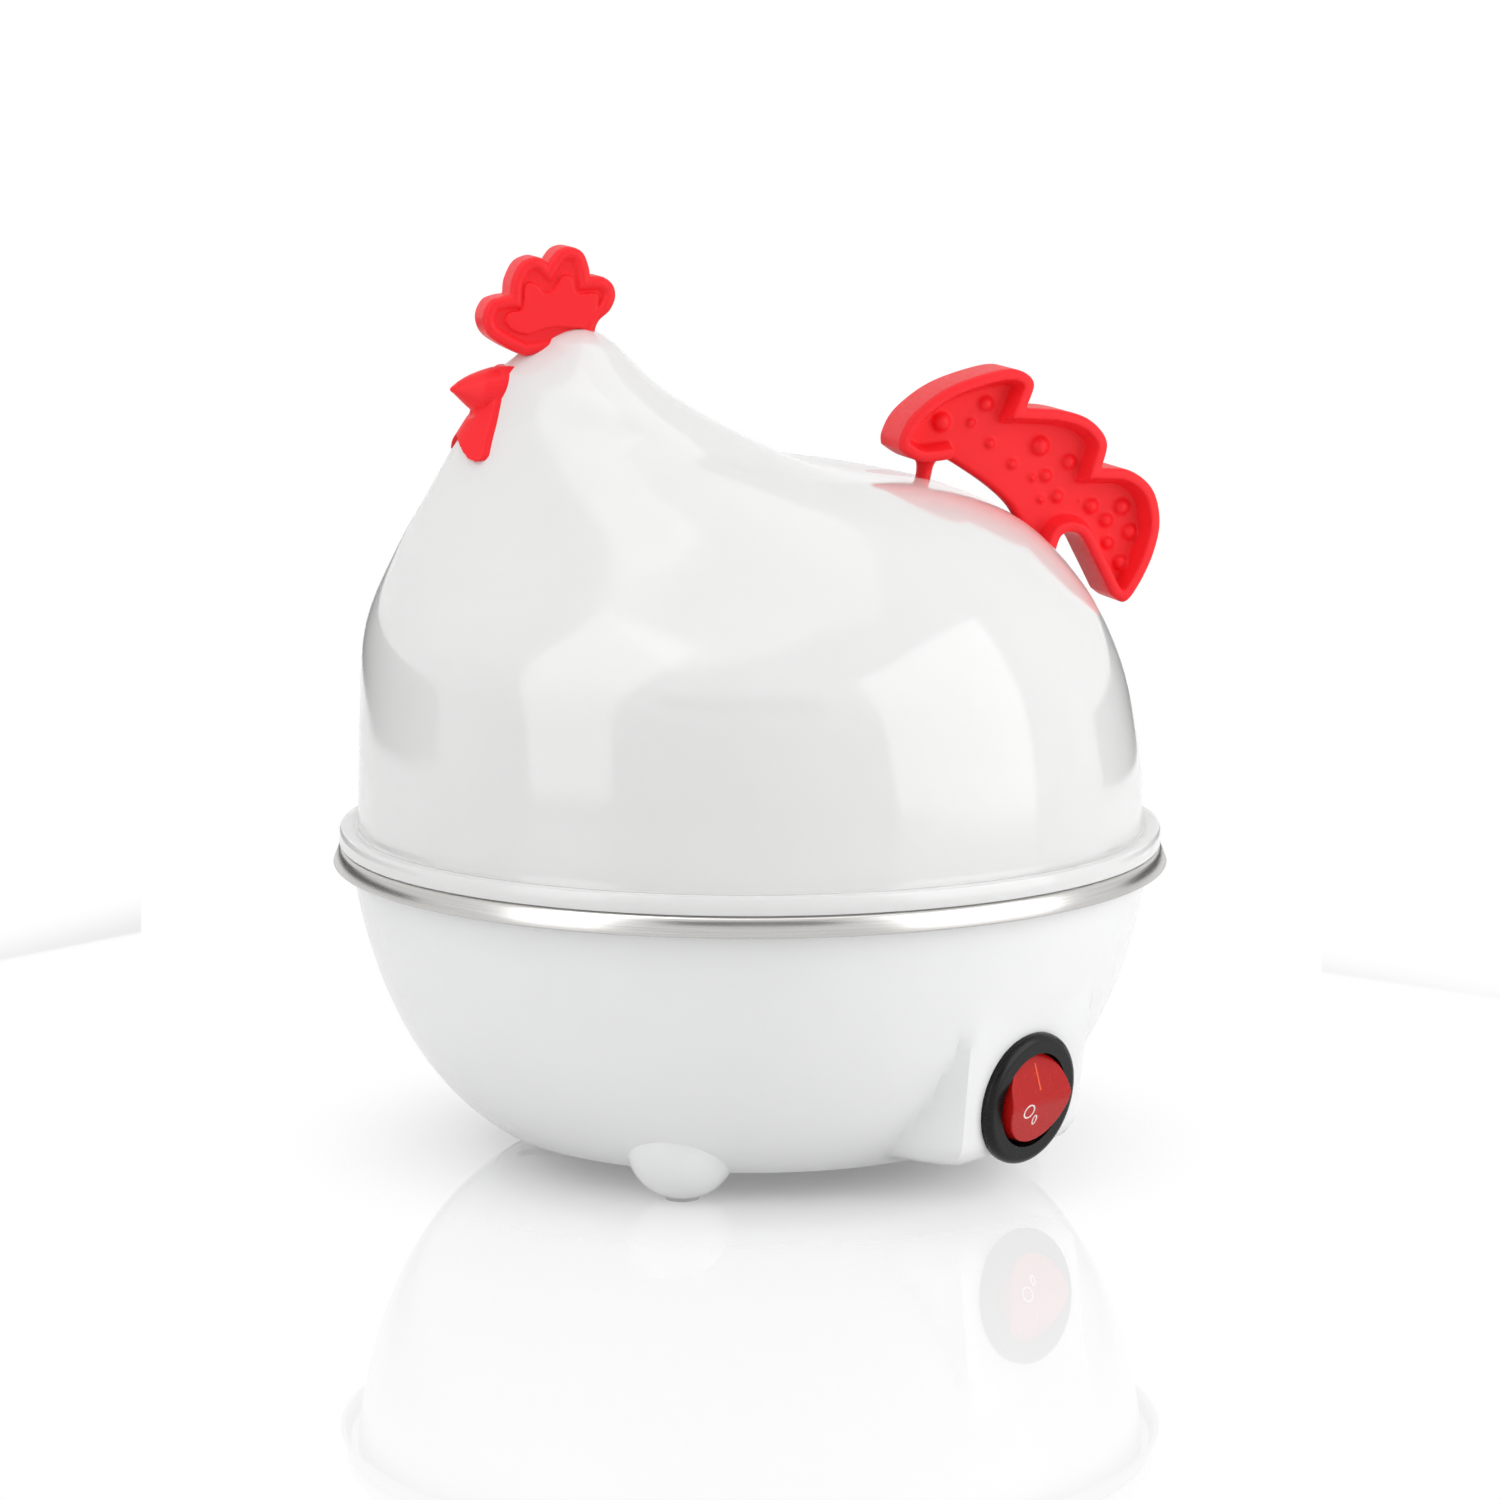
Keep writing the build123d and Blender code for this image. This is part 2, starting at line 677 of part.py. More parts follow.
def leaning(lean):
    """Unit vector that leans back from upright, towards the tail, by lean degrees."""
    return Vector(math.sin(math.radians(lean)), 0, math.cos(math.radians(lean)))


def tail_pegs():
    """Foot point and axis of the tail's front post and of its heel."""
    return [(Vector(foot[0], 0, foot[1]), leaning(lean))
            for foot, lean in zip((tail_foot, tail_heel), tail_leans)]


beak_axis = leaning(beak_peg_slope - 90)
beak_foot = Vector(beak_x, 0, beak_z)


def lid_shell():
    """Translucent hen dome with its flat foot flange and the holes for comb, beak and tail pegs."""
    body = hen_outer - hen_solid(lid_wall, len(hen_sections) - 1)
    foot_ring = disc(flange_radius, seat_z, lid_foot_z) - disc(lid_radius - lid_wall, seat_z, lid_foot_z)
    body += foot_ring
    body -= disc(peg_radius + running_gap, crown[1] - 2 * peg_length, crown[1] + peg_length, crown[0])
    body -= rod(beak_foot - beak_axis * (beak_peg_length + beyond), beak_foot + beak_axis * peg_root,
                peg_radius + running_gap)
    for foot_point, axis in tail_pegs():
        reach = axis * (2 * lid_wall + strip_thick)
        body -= rod(foot_point - reach, foot_point + reach, tail_post_radius + running_gap)
    return body


def comb_lobe_discs(shares, inset):
    """The comb's lobes, drawn nearer to the crown by a share and smaller by inset."""
    return [Pos(crown[0] + x * shares, crown[1] + z * shares) * Circle(radius - inset)
            for x, z, radius in comb_lobes]


def comb():
    """Red comb: a lobed plate with a rolled edge and a sunk panel, sitting astride the crown."""
    sketch = side_sketch(comb_plate, crown) + comb_lobe_discs(1, 0)
    plate = extrude(Plane.XZ * sketch, comb_thick / 2, both=True)
    panel = side_sketch(comb_panel, crown) + comb_lobe_discs(comb_panel_share, comb_rim)
    for side in (-1, 1):
        plate -= extrude(Plane.XZ.offset(side * comb_thick / 2) * panel, comb_recess, both=True)
    peg = disc(peg_radius, crown[1] - peg_length, crown[1] + peg_root, crown[0])
    return plate - hen_outer + peg


def beak():
    """Red beak with the wattle hanging under it."""
    root = (beak_x, beak_z)
    back_x = beak_x + beak_side[0][0]
    tip_x = beak_x + min(x for x, _ in beak_side)
    plan = make_face(Polyline((back_x, beak_half_width), (tip_x, beak_tip_half_width),
                              (tip_x, -beak_tip_half_width), (back_x, -beak_half_width), close=True))
    body = extrude(Plane.XZ * side_sketch(beak_side, root), beak_half_width, both=True)
    body &= Pos(0, 0, beak_z) * extrude(plan, lid_radius, both=True)
    drop = side_sketch(wattle_side, root)
    drop += Pos(beak_x + wattle_centre[0], beak_z + wattle_centre[1]) * Circle(wattle_radius)
    body += extrude(Plane.XZ * drop, wattle_half_width, both=True)
    body = (body - hen_outer).solids().sort_by(SortBy.VOLUME)[-1]
    return body + rod(beak_foot - beak_axis * beak_peg_length, beak_foot + beak_axis * peg_root, peg_radius)


# ---------------------------------------------------------------- tail
def tail_runs():
    """Clockwise runs of the three-lobed tail's outline: over the lobes, then back along the hen."""
    x, z = tail_foot
    heel_x, heel_z = tail_heel
    return [
        (Spline, [(x - 6.4, z + 3.8), (x - 3.8, z + 12.4), (x + 2.8, z + 17.0), (x + 12.0, z + 19.8),
                  (x + 16.4, z + 19.6), (x + 18.8, z + 17.2), (x + 17.4, z + 12.8)]),
        (Spline, [(x + 17.4, z + 12.8), (x + 24.2, z + 12.2), (x + 29.6, z + 10.2), (x + 32.8, z + 6.2),
                  (x + 31.8, z + 1.4)]),
        (Spline, [(x + 31.8, z + 1.4), (x + 37.2, z + 0.8), (x + 41.6, z - 2.8), (x + 43.1, z - 8.8),
                  (x + 41.8, z - 15.0), (x + 39.0, z - 20.8), (x + 36.4, z - 23.6), (x + 33.9, z - 22.2)]),
        (Spline, [(x + 33.9, z - 22.2), (x + 30.5, z - 15.6), (heel_x + 5.4, heel_z + 2.4),
                  (heel_x + 2.0, heel_z + 2.6), (heel_x + 0.6, heel_z - 1.2)]),
        (Polyline, [(heel_x + 0.6, heel_z - 1.2), (heel_x - 3.4, heel_z + 2.0),
                    (heel_x - 6.4, heel_z + 7.4)]),
        (Spline, [(heel_x - 6.4, heel_z + 7.4), (x + 12.0, z - 2.0), (x + 6.6, z + 1.8), (x + 3.2, z + 3.8)]),
        (Polyline, [(x + 3.2, z + 3.8), (x - 6.4, z + 3.8)]),
    ]


def tail_outline(inset):
    """Face of the tail's outline, moved inwards by inset."""
    runs = tail_runs()
    loop = inset_loop([point for _, points in runs for point in points[:-1]], inset)
    curves = []
    start = 0
    for curve, points in runs:
        end = start + len(points) - 1
        curves.append(curve(*loop[start:end], loop[end % len(loop)]))
        start = end
    return make_face(curves)


def tail_handle():
    """Red tail handle: a rimmed web with a sunk panel on both sides, on a front post and a heel."""
    body = extrude(Plane.XZ * tail_outline(0), tail_thick / 2, both=True) - hen_outer
    body = body.solids().sort_by(SortBy.VOLUME)[-1]
    panel = tail_outline(tail_rim)
    pocket = (tail_thick - tail_web) / 2
    for side in (-1, 1):
        body -= extrude(Plane.XZ.offset(side * tail_thick / 2) * panel, pocket, both=True)
    for foot_point, axis in tail_pegs():
        low = foot_point - axis * (lid_wall - strip_fit)
        body += rod(low, foot_point + axis * tail_post_rise, tail_post_radius)
        body -= rod(low - axis * lid_wall, low + axis * tail_screw_length, tail_screw_radius + running_gap / 2)
    return body


def tail_strip():
    """Backing strip inside the lid that spreads the handle's load."""
    wall_line = hen_lines(lid_wall)[1]
    deep_line = hen_lines(lid_wall + strip_thick)[1]
    start = tail_foot[0] - strip_overhang
    end = tail_heel[0] + strip_overhang
    stations = [start, tail_foot[0], (start + end) / 2, tail_heel[0], end]
    upper = [(x, line_height(wall_line, x)) for x in stations]
    lower = [(x, line_height(deep_line, x)) for x in reversed(stations)]
    body = extrude(Plane.XZ * make_face(Polyline(*upper, *lower, close=True)), strip_width / 2, both=True)
    body &= hen_solid(lid_wall + strip_fit, len(hen_sections) - 1)
    for foot_point, axis in tail_pegs():
        body -= rod(foot_point - axis * tail_screw_length, foot_point, tail_screw_radius + running_gap)
    return body


def tail_screws():
    """Two screws from inside the lid, through the strip, into the tail's feet."""
    screws = []
    for foot_point, axis in tail_pegs():
        seat = foot_point - axis * (lid_wall + strip_thick + tail_screw_radius)
        head = rod(seat - axis * screw_head_height, seat, screw_head_radius)
        screws.append(head + rod(seat - axis * screw_head_height, seat + axis * tail_screw_length,
                                 tail_screw_radius))
    return Compound(children=screws)


PARTS = {
    "base_housing": base_housing,
    "foot_pads": foot_pads,
    "heating_pan": heating_pan,
    "pan_gasket": pan_gasket,
    "heater_plate": heater_plate,
    "heater_tube": heater_tube,
    "heater_pins": heater_pins,
    "thermostat": thermostat,
    "thermostat_screws": thermostat_screws,
    "thermal_fuse": thermal_fuse,
    "fuse_clip": fuse_clip,
    "pan_posts": pan_posts,
    "base_screws": base_screws,
    "switch_frame": switch_frame,
    "switch_rocker": switch_rocker,
    "switch_terminals": switch_terminals,
    "neon_lamp": neon_lamp,
    "lead_switch": lead_switch,
    "lead_heater": lead_heater,
    "lead_fuse": lead_fuse,
    "cord_gland": cord_gland,
    "gland_nut": gland_nut_ring,
    "egg_rack": egg_rack,
    "lid_shell": lid_shell,
    "comb": comb,
    "beak": beak,
    "tail_handle": tail_handle,
    "tail_strip": tail_strip,
    "tail_screws": tail_screws,
}

os.makedirs("parts", exist_ok=True)
for name, maker in PARTS.items():
    export_step(maker(), f"parts/{name}.step")
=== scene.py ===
import json
import math

import bpy
from bpy.props import FloatProperty, FloatVectorProperty, IntProperty, PointerProperty
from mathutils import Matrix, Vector

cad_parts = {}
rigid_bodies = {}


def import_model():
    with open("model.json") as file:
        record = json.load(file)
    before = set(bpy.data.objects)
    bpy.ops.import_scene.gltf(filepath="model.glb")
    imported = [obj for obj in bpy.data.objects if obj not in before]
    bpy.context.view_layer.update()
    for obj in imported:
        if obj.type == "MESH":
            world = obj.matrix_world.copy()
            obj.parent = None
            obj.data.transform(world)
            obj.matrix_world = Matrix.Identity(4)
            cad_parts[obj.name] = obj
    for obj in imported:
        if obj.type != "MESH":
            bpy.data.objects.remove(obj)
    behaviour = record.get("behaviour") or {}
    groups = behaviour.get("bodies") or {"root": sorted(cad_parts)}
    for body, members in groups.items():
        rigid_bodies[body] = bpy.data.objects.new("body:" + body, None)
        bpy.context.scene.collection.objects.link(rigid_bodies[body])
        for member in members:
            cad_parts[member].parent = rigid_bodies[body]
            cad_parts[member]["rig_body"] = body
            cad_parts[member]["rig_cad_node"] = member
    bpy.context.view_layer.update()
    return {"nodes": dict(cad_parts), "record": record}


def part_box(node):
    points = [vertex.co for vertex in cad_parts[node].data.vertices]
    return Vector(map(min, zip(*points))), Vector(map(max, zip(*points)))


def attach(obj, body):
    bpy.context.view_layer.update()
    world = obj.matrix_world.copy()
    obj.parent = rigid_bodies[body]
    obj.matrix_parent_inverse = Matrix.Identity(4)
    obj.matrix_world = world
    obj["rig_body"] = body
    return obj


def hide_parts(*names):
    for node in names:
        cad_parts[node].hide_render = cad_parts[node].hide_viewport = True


bl_info = {
    "name": "Hen Egg Cooker",
    "version": (1, 0, 0),
    "blender": (4, 5, 0),
    "location": "3D View > Sidebar > Egg Cooker",
    "description": "Builds the shells, the red trim and the finishes of a hen-shaped egg cooker",
    "category": "Object",
}

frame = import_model()
MM = 0.001

# The hen's centre line. Each station is a tilted oval between the breast line and the back line:
# (breast x, breast z, back x, back z, half width) in millimetres, heights above the lid's seat.
HEN_STATIONS = [
    (-71.5, 3.4, 71.5, 3.4, 71.5),
    (-71.2, 13.5, 71.3, 12.5, 71.5),
    (-70.9, 23.8, 70.2, 20.4, 71.2),
    (-69.7, 40.7, 67.1, 33.3, 69.0),
    (-64.6, 55.2, 61.0, 45.7, 63.0),
    (-58.9, 65.8, 49.9, 57.6, 53.8),
    (-55.1, 72.5, 32.9, 65.2, 42.2),
    (-50.4, 79.8, 14.2, 67.6, 32.1),
    (-47.3, 85.8, -2.2, 74.3, 24.7),
    (-42.3, 89.8, -17.0, 82.9, 17.0),
    (-38.4, 92.6, -24.4, 90.0, 11.0),
]
FACE_FROM, FACE_TO, FACE_NARROWING = 35.0, 70.0, 0.62   # breast heights over which the front grows slimmer
CROWN_RISE, CROWN_STEPS = 2.9, 7    # the cap over the last station
ROOT_DEPTH = 0.9                    # how far the red trim reaches into the dome


# ---------------------------------------------------------------- modelling helpers
def settings():
    return bpy.context.scene.egg_cooker_sizes


def colours():
    return bpy.context.scene.egg_cooker_colours


def object_mode():
    """Leaves edit mode and deselects everything."""
    if bpy.context.object and bpy.context.object.mode != "OBJECT":
        bpy.ops.object.mode_set(mode="OBJECT")
    bpy.ops.object.select_all(action="DESELECT")


def pick(piece):
    object_mode()
    piece.select_set(True)
    bpy.context.view_layer.objects.active = piece


def named(name):
    """Names the object that was just added."""
    piece = bpy.context.object
    piece.name = name
    piece.data.name = name
    return piece


def settle(piece):
    """Moves the piece's place into its mesh."""
    pick(piece)
    bpy.ops.object.transform_apply(location=True, rotation=True, scale=True)
    return piece


def modify(piece, kind, **options):
    """Adds a modifier and applies it at once."""
    pick(piece)
    modifier = piece.modifiers.new(kind.title(), kind)
    for key, value in options.items():
        setattr(modifier, key, value)
    bpy.ops.object.modifier_apply(modifier=modifier.name)
    return piece


def combine(piece, other, operation):
    """Joins, cuts or intersects a piece with another one, which is used up."""
    modify(piece, "BOOLEAN", object=other, operation=operation, solver="EXACT")
    bpy.data.objects.remove(other)
    return piece


def merged(pieces, name):
    object_mode()
    for piece in pieces:
        piece.select_set(True)
    bpy.context.view_layer.objects.active = pieces[0]
    bpy.ops.object.join()
    return named(name)


def fused(pieces, name, grain):
    """Melts overlapping pieces into one moulding with slightly soft edges; grain is in millimetres."""
    moulding = merged(pieces, name)
    modify(moulding, "REMESH", mode="VOXEL", voxel_size=grain * MM)
    modify(moulding, "SMOOTH", factor=0.5, iterations=2)
    return moulding


def smooth(piece, degrees=35.0):
    pick(piece)
    bpy.ops.object.shade_smooth_by_angle(angle=math.radians(degrees))
    return piece


def around(turn, climb, reach):
    """A place round the cooker, from degrees round from the front and degrees above the table."""
    turn, climb = math.radians(turn), math.radians(climb)
    return Vector((math.sin(turn) * math.cos(climb), -math.cos(turn) * math.cos(climb), math.sin(climb))) * reach


def face_out(piece):
    """Merges doubled points and turns all faces outwards."""
    pick(piece)
    bpy.ops.object.mode_set(mode="EDIT")
    bpy.ops.mesh.select_all(action="SELECT")
    bpy.ops.mesh.remove_doubles(threshold=0.01 * MM)
    bpy.ops.mesh.normals_make_consistent(inside=False)
    object_mode()
    return piece


def loft(rings, name):
    """Closed skin through rings of equally many points, capped at both ends.

    The first ring is a primitive circle. Every further ring is an extrusion of the one before,
    and each ring's points are then put on their outline.
    """
    object_mode()
    count = len(rings[0])
    bpy.ops.mesh.primitive_circle_add(vertices=count, radius=MM, fill_type="NGON")
    piece = named(name)
    bpy.ops.object.mode_set(mode="EDIT")
    bpy.ops.mesh.select_mode(type="VERT")
    bpy.ops.mesh.select_all(action="SELECT")
    for _ in rings[1:]:
        bpy.ops.mesh.extrude_region_move(TRANSFORM_OT_translate={"value": (0, 0, MM)})
    object_mode()
    points = [point for ring in rings for point in ring]
    for vertex, point in zip(piece.data.vertices, points):
        vertex.co = point
    return face_out(piece)


def pole_caps(piece, count):
    """Closes the end rings of a skin, which have count points, with a fan to their middle."""
    pick(piece)
    bpy.ops.object.mode_set(mode="EDIT")
    bpy.ops.mesh.select_all(action="DESELECT")
    bpy.ops.mesh.select_mode(type="FACE")
    object_mode()
    for face in piece.data.polygons:
        face.select = len(face.vertices) == count
    bpy.ops.object.mode_set(mode="EDIT")
    bpy.ops.mesh.poke()
    object_mode()
    return piece


# ---------------------------------------------------------------- curves and outlines in the side view
def soft_max(a, b, blend):
    """The greater of two values, rounded over where they meet."""
    mix = max(blend - abs(a - b), 0) / blend
    return max(a, b) + mix * mix * blend / 4


def soft_step(value, low, high):
    """0 up to low and 1 from high, with a smooth rise between."""
    share = min(max((value - low) / (high - low), 0), 1)
    return share * share * (3 - 2 * share)


def curve_points(points, steps=6):
    """A smooth open line through points: a Catmull-Rom curve, without its last point."""
    line = []
    for i in range(len(points) - 1):
        before = Vector(points[max(i - 1, 0)])
        start = Vector(points[i])
        end = Vector(points[i + 1])
        after = Vector(points[min(i + 2, len(points) - 1)])
        for step in range(steps):
            t = step / steps
            line.append(0.5 * (2 * start + (end - before) * t + (2 * before - 5 * start + 4 * end - after) * t ** 2
                               + (3 * start - before - 3 * end + after) * t ** 3))
    return line


def offset_loop(loop, distances):
    """A clockwise loop of 2D points with each point moved inwards by its own distance."""
    moved = []
    for i, point in enumerate(loop):
        run_in = (point - loop[i - 1]).normalized()
        run_out = (loop[(i + 1) % len(loop)] - point).normalized()
        side_in = Vector((run_in.y, -run_in.x))
        side_out = Vector((run_out.y, -run_out.x))
        side = (side_in + side_out).normalized()
        stretch = 1 / max(side.dot(side_in), 0.5)
        moved.append(point + side * distances[i] * stretch)
    return moved


def upright(loop, heights):
    """3D points of a side-view loop in millimetres, each at its own distance from the centre plane."""
    return [Vector((p.x, -y, p.y)) * MM for p, y in zip(loop, heights)]


def rounded_edge(radius, steps=3):
    """Quarter-round profile of an edge, as (inset from the outline, drop from the face)."""
    turns = [math.radians(90 * i / steps) for i in range(steps + 1)]
    return [(radius * (1 - math.cos(a)), radius * (1 - math.sin(a))) for a in turns]


def two_sided(loop, layers, name):
    """A plate along the centre plane, the same on both sides; a layer is each point's inset and its height."""
    far = [upright(offset_loop(loop, insets), [-y for y in heights]) for insets, heights in reversed(layers)]
    near = [upright(offset_loop(loop, insets), heights) for insets, heights in layers]
    return loft(far + near, name)


def rounded_plate(loop, half, edge, inner_rings, name):
    """A plate with rounded edges and the same relief all round.

    inner_rings are (inset, distance from the centre plane), going inwards from the rounded edge.
    """
    count = len(loop)
    profile = [(inset, half - drop) for inset, drop in rounded_edge(edge)] + inner_rings
    return two_sided(loop, [([inset] * count, [y] * count) for inset, y in profile], name)


def top_corner(node, *, front):
    """The top front or top rear corner of a node's box, as a side-view point in millimetres."""
    low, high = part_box(node)
    return Vector(((low if front else high).x, high.z)) / MM


# ---------------------------------------------------------------- the hen's body
def lid_seat():
    """Height of the lid's foot in millimetres."""
    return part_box("lid_shell")[0].z / MM


def hen_lines(inset):
    """Centre-plane ends and half width of each ring of the body, moved inwards."""
    seat = lid_seat()
    lines = curve_points(HEN_STATIONS, 5) + [Vector(HEN_STATIONS[-1])]
    rings = []
    for i, ring in enumerate(lines):
        before = lines[max(i - 1, 0)]
        after = lines[min(i + 1, len(lines) - 1)]
        run = after - before
        breast_run = Vector((run[0], run[1])).normalized()
        back_run = Vector((run[2], run[3])).normalized()
        climb = (run[1] + run[3]) / 2
        breast = Vector((ring[0], ring[1] + seat)) + Vector((breast_run.y, -breast_run.x)) * inset
        back = Vector((ring[2], ring[3] + seat)) + Vector((-back_run.y, back_run.x)) * inset
        rings.append((breast, back, ring[4] - inset * math.hypot(1, run[4] / climb)))
    return rings


def oval(breast, back, width, rise=0.0):
    """One ring of the body in metres: an oval that is slimmer at the breast, the higher it is."""
    middle = (breast + back) / 2
    reach = (back - breast) / 2
    slim = FACE_NARROWING * soft_step(breast.y - lid_seat(), FACE_FROM, FACE_TO)
    count = settings().round_segments
    ring = []
    for i in range(count):
        angle = 2 * math.pi * i / count
        spot = middle + reach * math.cos(angle)
        half = width * math.sin(angle) * (1 - slim * ((1 - math.cos(angle)) / 2) ** 3)
        ring.append(Vector((spot.x, half, spot.y + rise)) * MM)
    return ring


def hen_rings(inset):
    """Rings of the body from its foot to just under the crown, moved inwards by inset millimetres."""
    lines = hen_lines(inset)
    rings = [oval(*line) for line in lines]
    breast, back, width = lines[-1]
    middle = (breast + back) / 2
    for i in range(1, CROWN_STEPS):
        share = 1 - i / CROWN_STEPS
        rings.append(oval(middle + (breast - middle) * share, middle + (back - middle) * share,
                          width * share, CROWN_RISE * (1 - share ** 2)))
    return rings


def hen_solid(inset, name):
    """The body filled in."""
    return loft(hen_rings(inset), name)


FLANGE = [  # radius and height above the seat, from the foot of the dome's wall to its inner edge
    (71.6, 3.2), (71.9, 3.0), (72.3, 3.2), (72.7, 3.4), (73.9, 3.4), (74.6, 3.2), (74.9, 2.7), (74.9, 0.5),
    (74.7, 0.1), (74.3, 0.0), (69.9, 0.0), (69.5, 0.3),
]


class EGG_COOKER_OT_dome(bpy.types.Operator):
    """Milky dome: one closed skin of outer wall, foot flange and inner wall"""
    bl_idname = "egg_cooker.dome"
    bl_label = "Dome"

    def execute(self, context):
        outer = hen_rings(0)
        inner = hen_rings(settings().dome_wall / MM)
        level = Vector((0, lid_seat()))
        flange = [oval(level + Vector((-r, h)), level + Vector((r, h)), r) for r, h in FLANGE]
        dome = loft(list(reversed(outer)) + flange + inner, "dome")
        pole_caps(dome, settings().round_segments)
        smooth(dome, 40)
        dome.data.materials.append(milky_plastic())
        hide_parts("lid_shell")
        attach(dome, "lid")
        return {"FINISHED"}


# ---------------------------------------------------------------- comb
COMB_RUNS = [  # smooth runs over the four lobes, from the comb box's front top corner
    [(7.5, -18.6), (3.8, -16.8), (0.8, -14.6), (-0.1, -11.6), (1.1, -8.9), (3.2, -8.0), (4.9, -7.8)],
    [(4.9, -7.8), (5.2, -5.2), (6.8, -2.2), (9.2, -1.1), (10.9, -1.4), (11.9, -2.2)],
    [(11.9, -2.2), (13.6, 0.0), (15.9, 0.6), (18.2, -0.4), (19.3, -2.8), (19.6, -4.7)],
    [(19.6, -4.7), (21.8, -4.8), (23.7, -6.2), (24.2, -8.4), (23.2, -10.8), (21.2, -12.6), (20.4, -14.6),
     (20.4, -17.5)],
]
COMB_PANEL = [
    (4.0, -12.4), (4.6, -10.9), (6.9, -10.4), (7.4, -8.7), (7.6, -6.1), (8.8, -5.6), (9.9, -6.2), (10.9, -7.3),
    (11.7, -7.5), (13.0, -6.8), (14.2, -4.9), (15.3, -4.4), (16.3, -5.2), (16.8, -7.2), (18.0, -7.8),
    (20.3, -7.7), (20.9, -9.0), (20.3, -11.2), (18.5, -13.8), (16.8, -13.8), (13.0, -13.5), (10.3, -14.0),
    (8.0, -14.7), (5.3, -13.9),
]


def runs_loop(runs, place, steps=6):
    """Closed loop of side-view points from smooth runs that meet in corners."""
    loop = []
    for run in runs:
        loop += curve_points(run, steps)
    if Vector(runs[-1][-1]) != Vector(runs[0][0]):
        loop.append(Vector(runs[-1][-1]))
    return [point + place for point in loop]


COMB_SHIFT = (-0.15, 0.15)      # from the corner of the comb's box
COMB_EDGE, PANEL_EDGE, PANEL_SINK = 1.1, 0.25, 0.1
COMB_RELIEF = [(1.5, 0.0), (1.9, 0.25), (2.5, 0.95)]    # inset and depth of the step down to the sunk face
COMB_GRAIN, BEAK_GRAIN, TAIL_GRAIN, ROCKER_GRAIN = 0.17, 0.18, 0.28, 0.16
SOFT_SHADING = 60               # degrees up to which a melted moulding is shaded smooth


class EGG_COOKER_OT_comb(bpy.types.Operator):
    """Red comb: a thick lobed plate with a rounded border, a sunk face and a raised zigzag panel"""
    bl_idname = "egg_cooker.comb"
    bl_label = "Comb"

    def execute(self, context):
        place = top_corner("comb", front=True) + Vector(COMB_SHIFT)
        half = settings().comb_thickness / MM / 2
        plate = rounded_plate(runs_loop(COMB_RUNS, place), half, COMB_EDGE,
                              [(inset, half - depth) for inset, depth in COMB_RELIEF], "comb_plate")
        panel = rounded_plate(runs_loop([COMB_PANEL + COMB_PANEL[:1]], place, 4), half - PANEL_SINK, PANEL_EDGE, [],
                              "comb_panel")
        comb = fused([plate, panel], "comb_moulding", COMB_GRAIN)
        combine(comb, hen_solid(ROOT_DEPTH, "head_cutter"), "DIFFERENCE")
        smooth(comb, SOFT_SHADING)
        comb.data.materials.append(red_plastic())
        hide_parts("comb")
        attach(comb, "lid")
        return {"FINISHED"}


# ---------------------------------------------------------------- beak and wattle
# Front outline of the bib's half, as distance from the centre plane and height from the beak box's top.
BIB_HALF = [(3.0, 0.1), (4.2, -3.4), (5.5, -7.7), (7.3, -11.9), (8.8, -15.0), (8.8, -15.8), (8.0, -16.1),
            (6.6, -15.7), (5.0, -14.8), (3.2, -13.7), (1.5, -12.7), (0.0, -12.1)]
BEAK_SECTIONS = [  # x from the beak box's front, top and bottom from the beak box's top, half width
    (12.0, 0.3, -9.0, 5.0), (9.8, 0.1, -9.0, 5.0), (7.6, -0.2, -8.9, 4.8),
    (5.6, -0.8, -8.6, 4.7), (4.2, -1.3, -8.0, 3.8), (2.9, -1.9, -6.8, 2.9), (1.7, -2.6, -5.6, 2.0),
    (0.8, -3.3, -4.7, 1.2), (0.25, -3.7, -4.3, 0.5),
]
BEAK_SHIFT = -0.35              # of the beak's tip from the front of its box
BIB_FROM, BIB_TO = -2.0, 14.0   # how far behind the tip the bib's skin is taken
BIB_GROOVE = [(4.3, -8.6), (1.9, -10.0), (-1.0, -10.6), (-1.0, -4.0), (1.6, -5.8)]    # the cut under the beak
GROOVE_HALF = 14.0


class EGG_COOKER_OT_beak(bpy.types.Operator):
    """Red beak with its wattle: a tapered beak on a thin bib that lies on the hen's face"""
    bl_idname = "egg_cooker.beak"
    bl_label = "Beak"

    def execute(self, context):
        low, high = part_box("beak")
        front, top = low.x / MM + BEAK_SHIFT, high.z / MM
        face = fused([self.bib(front, top), self.core(front, top)], "beak_moulding", BEAK_GRAIN)
        combine(face, hen_solid(ROOT_DEPTH, "head_cutter"), "DIFFERENCE")
        smooth(face, SOFT_SHADING)
        face.data.materials.append(red_plastic())
        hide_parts("beak")
        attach(face, "lid")
        return {"FINISHED"}

    def core(self, front, top):
        """Tapered beak with oval sections."""
        turns = [math.radians(12 * i) for i in range(30)]
        rings = []
        for x, upper, lower, half in BEAK_SECTIONS:
            middle, rise = top + (upper + lower) / 2, (upper - lower) / 2
            rings.append([Vector((front + x, half * math.sin(a), middle + rise * math.cos(a))) * MM for a in turns])
        return loft(rings, "beak_core")

    def bib(self, front, top):
        """Thin skin over the hen's face inside the bib's front outline, with a groove under the beak."""
        half = [Vector(p) for p in BIB_HALF]
        outline = half + [Vector((-p.x, p.y)) for p in reversed(half[:-1])]
        rings = [[Vector((front + x, p.x, top + p.y)) * MM for p in outline] for x in (BIB_FROM, BIB_TO)]
        bib = combine(loft(rings, "bib"), hen_solid(-settings().wattle_rise / MM, "face_skin"), "INTERSECT")
        cutter = loft([[Vector((front + x, y, top + z)) * MM for x, z in BIB_GROOVE]
                       for y in (-GROOVE_HALF, GROOVE_HALF)], "groove")
        return combine(bib, cutter, "DIFFERENCE")


